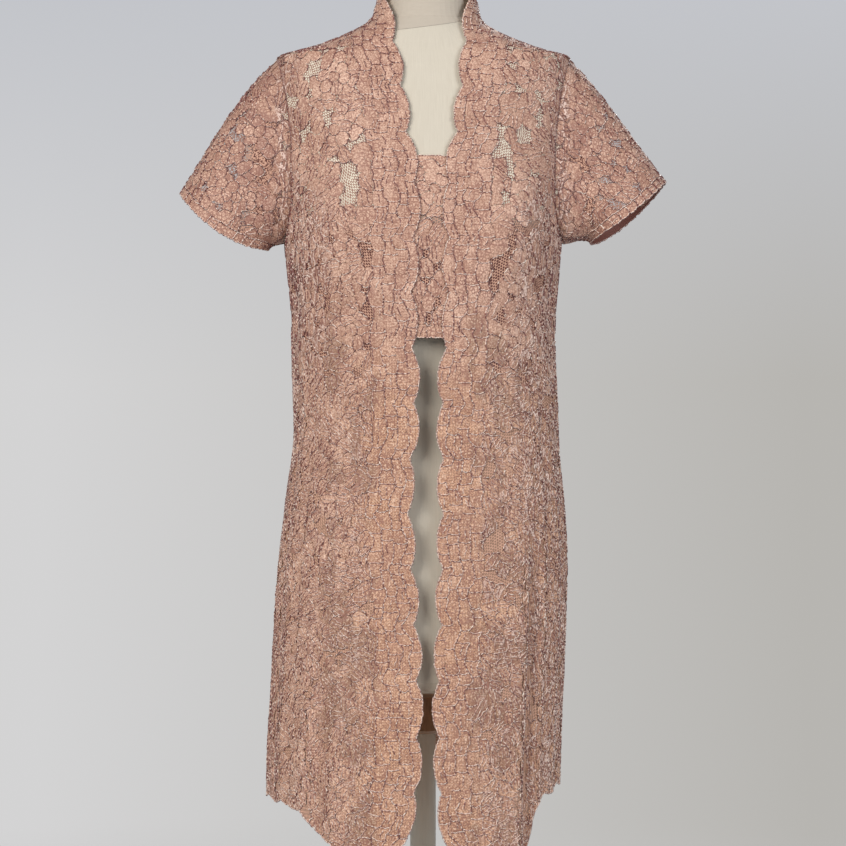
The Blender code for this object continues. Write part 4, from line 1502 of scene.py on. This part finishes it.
def makeFront(name, side):
    panel = Panel(name, bodyPoint, cloth["steps"])
    chart = frontChart(side)
    lowest = float(scallopPhase(np.array(cloth["lowestHem"])))
    highest = float(scallopPhase(np.array(cloth["standTop"])))
    columns = fronts["columns"]
    phases = np.linspace(lowest, highest, 600)
    reaches = frontReach(side, scallopHeight(phases))

    def rowsAt(column):
        count = round((highest - lowest) * fronts["rungs"])
        start = fronts["rungStarts"][column]
        shares = [0.0] + [(i + 1 - start) / count for i in range(count - 1)] + [1.0]
        shifts = random.Random(name + str(column))
        most = fronts["rungShift"]
        moved = [s + shifts.uniform(-most, most) / count if 0 < s < 1 else s for s in shares]
        return [lowest + (highest - lowest) * s for s in sorted(set(moved))]

    def skip(column, t0, t1):
        return columns[column + 1] > np.interp((t0 + t1) / 2, phases, reaches) + 0.002

    drawBand(panel, chart, columns, rowsAt, scallops["pitch"], skip)

    def inside(us, vs):
        zone = cloth["hemZone"]
        share = (zone - vs) / (zone - hemAt[side](np.abs(us)))
        heights = np.where(share > 0, zone - share * (zone - cloth["lowestHem"]), vs)
        angles = side * us
        within = (heights > cloth["lowestHem"] + 0.002) & (heights < cloth["neckSeam"])
        far = arcAt(angles, heights) - edgeArc(side, heights) > columns[-1] + 0.004
        return within & far & (angles < seamAngle(side, heights, True) - 0.8)

    flowers = []
    rowShift, flowerShift = fronts["rowShift"], fronts["flowerShift"]
    for row in range(fronts["flowerRows"]):
        phase = lowest + fronts["firstRow"] + row * fronts["rowPitch"]
        for c, d in enumerate(fronts["flowers"]):
            at = phase + fronts["rowOffset"] * c + panel.random.uniform(-rowShift, rowShift)
            if at < highest - 1.2:
                moved = d + panel.random.uniform(-flowerShift, flowerShift)
                u, v = chart(np.array(moved), np.array(at))
                flowers.append((float(u), float(v)))
    noise = np.random.default_rng(fronts["seed"] + side)
    many, more = fronts["candidates"], fronts["shoulderCandidates"]
    us = side * np.concatenate([noise.uniform(-5, 90, many), noise.uniform(20, 90, more)])
    vs = np.concatenate([noise.uniform(cloth["lowestHem"], cloth["neckSeam"], many),
                         noise.uniform(cloth["shoulderTip"] - 0.01, cloth["neckSeam"], more)])
    seeds = scatter(panel, inside, flowers, (us, vs), fronts["spacing"], bodyGrain)

    heights = np.linspace(cloth["lowestHem"], cloth["standTop"], 420)
    inner = bodyPoint(*chart(np.full(len(heights), columns[-1]), scallopPhase(heights)))
    angles = seamAngle(side, heights, True)
    outer = bodyPoint(side * angles, hemRow(heights, angles, side))
    sweep = np.linspace(-5, 92, 260)
    foot = bodyPoint(side * sweep, hemLine(sweep, np.full(len(sweep), side)))
    panel.floorAt = lambda us: hemLine(np.abs(us), np.sign(us))
    drawCells(panel, seeds, [inner, outer, foot], fronts["ribShare"])

    # cords along the scalloped edge, the hem and the armhole
    addEdgeCord(panel, chart, lace["edgeInset"], np.linspace(lowest, highest, 640), scallops["pitch"])
    sweep = np.linspace(float(side * chart(np.array(0.0), np.array(lowest))[0]), 89.9, 150)
    hem = hemLine(sweep, np.full(len(sweep), side))
    panel.layCord(side * sweep, hem, lace["hemLift"], lace["edgeCord"])
    seam = seamAngle(side, armholeHeights, True) - lace["seamInset"]
    panel.layCord(side * seam, armholeHeights, lace["seamLift"])

    heights = netHeights(cloth["standTop"], 190, 40)
    borderColumns, fieldColumns = fronts["netColumns"]
    shares = np.concatenate([np.linspace(0, 0.3, borderColumns), np.linspace(0.335, 1, fieldColumns)])
    edges = side * angleAt(edgeAt[side](heights) - side * scallopWave(heights), heights)
    ends = seamAngle(side, heights, True)
    angles = edges[:, None] + (ends - edges)[:, None] * shares[None, :]
    vs = hemRow(heights[:, None], angles, side)
    finishPanel(panel, [name], side * angles, vs, [borderColumns - 1])


makeFront("front_right", -1)
makeFront("front_left", 1)


back = {
    "spacing": 0.0126,
    "ribShare": 0.25,
    "flowerRows": 11,
    "flowerColumns": 6,
    "firstAngle": 104,
    "firstHeight": 0.50,
    "angleStep": 30.4,
    "heightStep": 0.083,
    "angleShift": 2.5,
    "heightShift": 0.008,
    "candidates": 56000,
    "shoulderCandidates": 12000,
    "netColumns": 61,
    "seed": 23,
    "flat": (0.56, 1.02),
    "area": 0.47,
}


def backEdge(height):
    return 180 - seamAngle(1, height, False)


def makeBack():
    panel = Panel("back", bodyPoint, cloth["steps"])

    def turnedFrom(us):
        return 180 - np.abs(180 - us), np.where(us < 180, 1, -1)

    def inside(us, vs):
        turned, sides = turnedFrom(us)
        hem = np.where(sides > 0, hemAt[1](turned), hemAt[-1](turned))
        within = (vs > hem + 0.002) & (vs < cloth["neckSeam"] - 0.002)
        return within & (turned > backEdge(vs) + 0.8)

    flowers = []
    step, most, rise = back["angleStep"], back["angleShift"], back["heightShift"]
    for row in range(back["flowerRows"]):
        for column in range(back["flowerColumns"]):
            u = back["firstAngle"] + column * step + (step / 2 if row % 2 else 0)
            u += panel.random.uniform(-most, most)
            v = back["firstHeight"] + row * back["heightStep"] + panel.random.uniform(-rise, rise)
            flowers.append((u, v))
    noise = np.random.default_rng(back["seed"])
    many, more = back["candidates"], back["shoulderCandidates"]
    us = noise.uniform(90, 270, many + more)
    vs = np.concatenate([noise.uniform(0.455, 1.42, many), noise.uniform(1.37, 1.42, more)])
    seeds = scatter(panel, inside, flowers, (us, vs), back["spacing"], bodyGrain)

    heights = np.linspace(cloth["lowestHem"], cloth["neckSeam"], 360)
    turned = backEdge(heights)
    borders = [bodyPoint(turned, hemRow(heights, turned, 1)),
               bodyPoint(360 - turned, hemRow(heights, turned, -1))]
    sweep = np.linspace(88, 272, 420)
    hems = hemLine(*turnedFrom(sweep))
    borders.append(bodyPoint(sweep, hems))
    borders.append(bodyPoint(sweep, np.full(len(sweep), cloth["neckSeam"])))
    drawCells(panel, seeds, borders, back["ribShare"])
    panel.layCord(sweep, hems, lace["hemLift"], lace["edgeCord"])
    seam = backEdge(armholeHeights) + lace["seamInset"]
    for side in (-1, 1):
        panel.layCord(side * seam, armholeHeights, lace["seamLift"])

    heights, columns = netHeights(cloth["neckSeam"], 130, 26), back["netColumns"]
    starts = backEdge(heights)
    us = starts[:, None] + (360 - 2 * starts)[:, None] * np.linspace(0, 1, columns)[None, :]
    turned, sides = turnedFrom(us)
    vs = hemRows(heights[:, None], turned, sides)
    finishPanel(panel, ["back"], us, vs, [columns // 2])


makeBack()


# the stand at the back of the neck
collar = {"rows": 3, "cell": 0.0165, "length": 0.19, "netColumns": 61, "flat": (0.20, 0.047)}


def makeCollar():
    panel = Panel("collar", bodyPoint, cloth["steps"])
    low, high = cloth["neckSeam"] + cloth["seamGap"], cloth["standTop"]
    length = collar["length"]

    def chart(d, t):
        return 90.2 + t * 179.6, low + d

    def rowsAt(column):
        count = round(length / collar["cell"])
        start = 0.5 * (column % 2)
        return sorted({0.0, 1.0} | {(i + 1 - start) / count for i in range(count)})

    columns = [(high - low) * i / collar["rows"] for i in range(collar["rows"] + 1)]
    drawBand(panel, chart, columns, rowsAt, length)
    addEdgeCord(panel, chart, high - low - 0.0003, np.linspace(0, 1, 90), length)
    us, vs = np.meshgrid(np.linspace(90.1, 269.9, collar["netColumns"]), np.linspace(low, high, 9))
    finishPanel(panel, ["collar"], us, vs, [collar["netColumns"] // 2])


makeCollar()


# the panel that lies under both fronts at the bust
centre = {
    "sides": (-0.034, 0.052),
    "bottom": 1.027,
    "top": 1.2454,
    "spacing": 0.0118,
    "ribShare": 0.6,
    "flowers": ((3.4, 1.205), (1.2, 1.128), (5.2, 1.062)),
    "candidates": 9000,
    "netColumns": 12,
    "seed": 31,
    "flat": (0.088, 0.222),
}


def makeCentrePanel():
    inset = cloth["thickness"] + cloth["panelGap"]
    panel = Panel("centre_panel", bodyPoint, cloth["steps"], inset=inset)
    right, left = centre["sides"]
    bottom, top = centre["bottom"], centre["top"]

    def inside(us, vs):
        within = (vs > bottom + 0.003) & (vs < top - 0.003)
        return within & (us > angleAt(right, vs) + 0.6) & (us < angleAt(left, vs) - 0.6)

    noise = np.random.default_rng(centre["seed"])
    count = centre["candidates"]
    candidates = noise.uniform(-14, 22, count), noise.uniform(bottom, top, count)
    seeds = scatter(panel, inside, centre["flowers"], candidates, centre["spacing"], bodyGrain)
    heights = np.linspace(bottom, top, 90)
    across = np.linspace(right, left, 50)
    borders = [bodyPoint(angleAt(right, heights), heights), bodyPoint(angleAt(left, heights), heights)]
    for height in (bottom, top):
        level = np.full(len(across), height)
        borders.append(bodyPoint(angleAt(across, level), level))
        panel.layCord(angleAt(across, level), level, lace["hemLift"], lace["edgeCord"])
    drawCells(panel, seeds, borders, centre["ribShare"])
    columns = centre["netColumns"]
    low, high = angleAt(right, heights)[:, None], angleAt(left, heights)[:, None]
    us = low + (high - low) * np.linspace(0, 1, columns)[None, :]
    vs = np.repeat(heights[:, None], columns, 1)
    finishPanel(panel, ["centre_panel"], us, vs, [columns // 2])


makeCentrePanel()


# the cuff's outer and inner ends, how it tilts and sags, and how full the sleeve's head is
sleeves = {
    "sleeve_right": {
        "side": -1,
        "top": (0.3025, 1.2120),
        "under": (0.1930, 1.1410),
        "lift": -0.0055,
        "sag": 0.0135,
        "head": 0.30,
    },
    "sleeve_left": {
        "side": 1,
        "top": (0.3025, 1.2245),
        "under": (0.2090, 1.1500),
        "lift": 0.0040,
        "sag": 0.0080,
        "head": 0.12,
    },
}
sleeveCut = {
    "halfDepth": 0.062,
    "headRise": 0.25,
    "crease": 0.0016,
    "band": 0.011,              # width of the border at the cuff
    "bandCell": 0.026,
    "lobe": 0.0009,
    "spacing": 0.0100,
    "ribShare": 0.5,
    "stretch": 1.5,
    "flowers": ((0.28, 0.0), (0.66, 0.5)),  # share of the way to the cuff, and turn
    "around": 7,
    "flowerShift": (0.6, 0.03),
    "candidates": 26000,
    "netSize": (97, 29),
    "seed": 41,
    "flat": (0.50, 0.215),
    "area": 0.066,
}


def sleeveSurface(cut):
    side = cut["side"]
    heights = np.linspace(cloth["armpit"], cloth["shoulderTip"], 26)[1:-1]
    front = side * angleAt(centreAt(heights) + armholeFrontAt(heights), heights)
    rear = side * (180 - angleAt(centreAt(heights) + armholeBackAt(heights), heights))
    angles = np.concatenate([[side * 90.0], front[::-1], [side * 90.0], rear])
    levels = np.concatenate([[cloth["shoulderTip"]], heights[::-1], [cloth["armpit"]], heights])
    starts = bodyPoint(angles, levels)
    count, half = len(starts), len(starts) // 2
    spans = np.linalg.norm(np.roll(starts, -1, 0) - starts, axis=1)
    down, up = spans[:half].sum(), spans[half:].sum()
    parts = np.concatenate([spans[:half] / down, spans[half:] / up]) * math.pi
    turns = np.concatenate([[0], np.cumsum(parts)])
    closedStarts = np.vstack([starts, starts[:1]])
    top, under = (np.array((side * cut[name][0], 0, cut[name][1])) for name in ("top", "under"))
    axis = np.array((side * (top[2] - under[2]), 0, -abs(top[0] - under[0])))
    axis /= np.linalg.norm(axis)
    leave = axis + cut["head"] * np.array((side, 0, sleeveCut["headRise"]))
    leave /= np.linalg.norm(leave)

    def cuffPoint(turn):
        turn = np.asarray(turn)[..., None]
        ahead = np.array((0, -sleeveCut["halfDepth"], cut["lift"]))
        drop = np.array((0, 0, -cut["sag"])) * np.sin(turn) ** 2
        return (top + under) / 2 + (top - under) / 2 * np.cos(turn) + ahead * np.sin(turn) + drop

    def point(column, along):
        column, along = np.broadcast_arrays(column, along)
        place = np.mod(column, count)
        i = np.minimum(np.floor(place).astype(int), count - 1)
        part = place - i
        turn = turns[i] * (1 - part) + turns[i + 1] * part
        start = closedStarts[i] * (1 - part)[..., None] + closedStarts[i + 1] * part[..., None]
        end = cuffPoint(turn)
        length = np.linalg.norm(end - start, axis=-1, keepdims=True)
        a = along[..., None]
        rest = 1 - a
        made = start * rest * rest * (1 + 2 * a) + end * a * a * (3 - 2 * a)
        made = made + length * a * rest * (leave * rest - axis * a)
        # soft creases that run from the armhole towards the cuff, none at the seam
        waves = np.sin(turn * 5 + 0.8) * 0.6 + np.sin(turn * 9 + 2.0) * 0.4
        swell = sleeveCut["crease"] * waves * np.sin(np.pi * np.clip(along, 0, 1))
        out = np.stack([side * 0.5 * np.cos(turn), -np.sin(turn), 0.8 * np.cos(turn)], -1)
        return made + out * swell[..., None]

    return point, count


def makeSleeve(name):
    cut = sleeves[name]
    side = cut["side"]
    point, count = sleeveSurface(cut)
    panel = Panel(name, point, (0.15, 0.006), facing=side)

    ring = np.linspace(0, count, 400)
    lengths = np.zeros(len(ring))
    for a in np.linspace(0, 0.98, 50):
        step = point(ring, np.full(len(ring), a + 0.02)) - point(ring, np.full(len(ring), a))
        lengths += np.linalg.norm(step, axis=1)
    cuffSteps = np.linalg.norm(np.diff(point(ring, np.full(len(ring), 1.0)), axis=0), axis=1)
    cuffArc = np.concatenate([[0], np.cumsum(cuffSteps)])
    around = cuffArc[-1]

    def lengthAt(column):
        return np.interp(np.mod(column, count), ring, lengths)

    cells = 2 * round(around / sleeveCut["bandCell"])

    def chart(d, t):
        column = np.interp(np.mod(t, 1.0) * around, cuffArc, ring)
        lobe = np.abs(np.sin(np.pi * t * cells)) ** cloth["lobePower"]
        return column, 1 - (d - sleeveCut["lobe"] * lobe) / lengthAt(column)

    def rowsAt(column):
        return [i / cells for i in range(cells + 1)]

    drawBand(panel, chart, (0.0, sleeveCut["band"]), rowsAt, around)

    def inside(us, vs):
        return (vs > 0.012) & (vs < 1 - (sleeveCut["band"] + 0.004) / lengthAt(us))

    def sleeveGrain(us, vs, points):
        return grainOf(points, np.zeros(len(us)), sleeveCut["stretch"])

    flowers = []
    mostU, mostV = sleeveCut["flowerShift"]
    for share, shift in sleeveCut["flowers"]:
        for i in range(sleeveCut["around"]):
            u = (i + shift) / sleeveCut["around"] * count
            if lengthAt(u) * (1 - share) > 0.03:
                u += panel.random.uniform(-mostU, mostU)
                flowers.append((u, share + panel.random.uniform(-mostV, mostV)))
    noise = np.random.default_rng(sleeveCut["seed"] + side)
    many = sleeveCut["candidates"]
    candidates = noise.uniform(0, count, many), noise.uniform(0, 1, many)
    seeds = scatter(panel, inside, flowers, candidates, sleeveCut["spacing"], sleeveGrain)
    columns = np.linspace(0, count, 420)
    seam = point(columns, np.full(len(columns), 0.002))
    bandLine = point(columns, 1 - sleeveCut["band"] / lengthAt(columns))
    drawCells(panel, seeds, [seam, bandLine], sleeveCut["ribShare"])
    addEdgeCord(panel, chart, lace["edgeInset"], np.linspace(0, 1, 230), around)

    width, length = sleeveCut["netSize"]
    us, vs = np.meshgrid(np.linspace(0, count, width), np.linspace(0.001, 1, length))
    middles = [width // 4, 3 * width // 4]
    finishPanel(panel, [name], us, vs, middles)


for sleeveName in sleeves:
    makeSleeve(sleeveName)


linen = {
    "thread": 0.0016,
    "crossing": 0.8,
    "girth": 0.13,
    "torso": ((0.770, 0.705, 0.590), (0.640, 0.575, 0.470)),
    "neck": ((0.620, 0.545, 0.455), (0.560, 0.490, 0.400)),
}


def linenFinish(name, upright, light, dark):
    # fine ribs of thread, upright or level
    made = Finish(name, Roughness=0.85, Sheen_Weight=0.15)
    x, y, v = made.parts(made.here())
    u = made.maths("ARCTAN2", x, 0 - y) * linen["girth"]
    main, other = (u, v) if upright else (v, u)
    ribs = made.maths("SINE", main * (math.tau / linen["thread"])) * 0.5 + 0.5
    finer = linen["thread"] * linen["crossing"]
    crossing = made.maths("SINE", other * (math.tau / finer)) * 0.5 + 0.5
    slubs = made.noise(made.vector(main * 500, other * 40, 0), 1.0)
    weave = ribs * 0.55 + crossing * 0.15 + slubs * 0.6
    patches = made.noise(made.here(), 7.0)
    plain = made.blend(made.spread(weave, 0.25, 1.0), dark, light)
    made.colour(made.blend(made.spread(patches, 0.4, 0.7, 0, 0.25), plain, dark))
    made.bump(weave, 0.35, 0.0004)
    return made


stand = {
    "grain": ((0.245, 0.128, 0.068), (0.375, 0.212, 0.118)),
    "pores": (0.150, 0.075, 0.040),
    "enamel": ((0.700, 0.652, 0.552), (0.660, 0.612, 0.510)),
}


def woodFinish():
    made = Finish("turned_wood", Roughness=0.42, Coat_Weight=0.2)
    x, y, z = made.parts(made.here())
    rings = made.maths("SQRT", x * x + y * y) * 260 + made.noise(made.here(), 14.0) * 3.2
    grain = made.maths("SINE", rings) * 0.5 + 0.5
    fine = made.noise(made.vector(x * 900, y * 900, z * 60), 1.0)
    base = made.blend(grain, *stand["grain"])
    made.colour(made.blend(made.spread(fine, 0.45, 0.75, 0, 0.5), base, stand["pores"]))
    made.bump(fine, 0.15, 0.0003)
    return made


def enamelFinish():
    made = Finish("ivory_enamel", Coat_Weight=0.4, Coat_Roughness=0.15)
    specks = made.noise(made.here(), 190.0)
    cloud = made.noise(made.here(), 6.0)
    made.colour(made.blend(made.spread(cloud, 0.35, 0.7), *stand["enamel"]))
    made.feed(made.shader.inputs["Roughness"], made.spread(cloud, 0.3, 0.7, 0.30, 0.42))
    made.bump(specks, 0.08, 0.0004)
    return made


def dress(node, finish):
    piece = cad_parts[node]
    piece.data.materials.clear()
    piece.data.materials.append(finish.material)


torsoLinen = linenFinish("cream_linen_torso", True, *linen["torso"])
neckLinen = linenFinish("cream_linen_neck", False, *linen["neck"])
wood = woodFinish()
enamel = enamelFinish()
for node, finish in (("neck_cap", wood), ("pole_socket", wood), ("pole", enamel), ("base", enamel),
                     ("form_torso", torsoLinen), ("form_neck", neckLinen)):
    dress(node, finish)
print("form and stand dressed")

studio = {
    "floorRadius": 2.6,
    "floor": (0.62, 0.61, 0.59),
    "floorFade": (0.7, 2.4),
    # painted light on the wall, brighter on the left than on the right
    "wall": ((0.655, 0.652, 0.655), (0.475, 0.463, 0.440)),     # on the left and on the right
    "wallTop": (0.545, 0.557, 0.590),
    "air": (0.93, 0.96, 1.0, 1),
    "airLight": 0.26,
}

lamps = {
    "key": {"place": (-2.1, -2.8, 2.5), "aim": (0, 0, 1.02), "size": 2.2, "power": 92,
            "colour": (1.0, 0.97, 0.93)},
    "fill": {"place": (2.2, -2.4, 1.6), "aim": (0, 0, 0.9), "size": 1.6, "power": 41,
             "colour": (0.95, 0.97, 1.0)},
    "rear": {"place": (0.6, 2.8, 2.6), "aim": (0, 0, 1.0), "size": 1.8, "power": 58,
             "colour": (0.97, 0.98, 1.0)},
}


def addFloor():
    # its edge fades out
    bpy.ops.mesh.primitive_circle_add(vertices=96, radius=studio["floorRadius"], fill_type="NGON",
                                      location=(0, 0, 0))
    floor = bpy.context.object
    floor.name = "floor"
    made = Finish("pale_floor", Roughness=0.9)
    x, y, _ = made.parts(made.here())
    reach = made.maths("SQRT", x * x + y * y)
    made.colour(studio["floor"])
    made.feed(made.shader.inputs["Alpha"], made.spread(reach, *studio["floorFade"], 1.0, 0.0))
    floor.data.materials.append(made.material)


def addWorld():
    # even light, and behind everything a wall seen only by the camera, with painted light: brighter on
    # the left than on the right, and bluer at the top
    world = bpy.data.worlds.new("studio")
    scene.world = world
    world.use_nodes = True
    nodes, links = world.node_tree.nodes, world.node_tree.links

    def graded(value, low, high, first, second):
        spread = nodes.new("ShaderNodeMapRange")
        spread.inputs["From Min"].default_value = low
        spread.inputs["From Max"].default_value = high
        links.new(value, spread.inputs["Value"])
        mix = nodes.new("ShaderNodeMix")
        mix.data_type = "RGBA"
        links.new(spread.outputs[0], mix.inputs[0])
        for place, colour in ((6, first), (7, second)):
            if isinstance(colour, tuple):
                mix.inputs[place].default_value = (*colour, 1)
            else:
                links.new(colour, mix.inputs[place])
        return mix.outputs[2]

    split = nodes.new("ShaderNodeSeparateXYZ")
    links.new(nodes.new("ShaderNodeTexCoord").outputs["Generated"], split.inputs[0])
    across = graded(split.outputs[0], -0.18, 0.18, *studio["wall"])
    wall = graded(split.outputs[2], 0.02, 0.20, across, studio["wallTop"])
    shade = nodes["Background"]
    shade.inputs[0].default_value = studio["air"]
    shade.inputs[1].default_value = studio["airLight"]
    seen = nodes.new("ShaderNodeBackground")
    links.new(wall, seen.inputs[0])
    mix = nodes.new("ShaderNodeMixShader")
    links.new(nodes.new("ShaderNodeLightPath").outputs["Is Camera Ray"], mix.inputs[0])
    links.new(shade.outputs[0], mix.inputs[1])
    links.new(seen.outputs[0], mix.inputs[2])
    links.new(mix.outputs[0], nodes["World Output"].inputs[0])


def addLamp(name, place, aim, size, power, colour):
    bpy.ops.object.light_add(type="AREA", location=place)
    lamp = bpy.context.object
    lamp.name = name
    lamp.data.shape = "DISK"
    lamp.data.size = size
    lamp.data.energy = power
    lamp.data.color = colour
    lamp.rotation_euler = (Vector(aim) - Vector(place)).to_track_quat("-Z", "Y").to_euler()


addFloor()
addWorld()
for lampName, lamp in lamps.items():
    addLamp(lampName, **lamp)
print("stage lit")
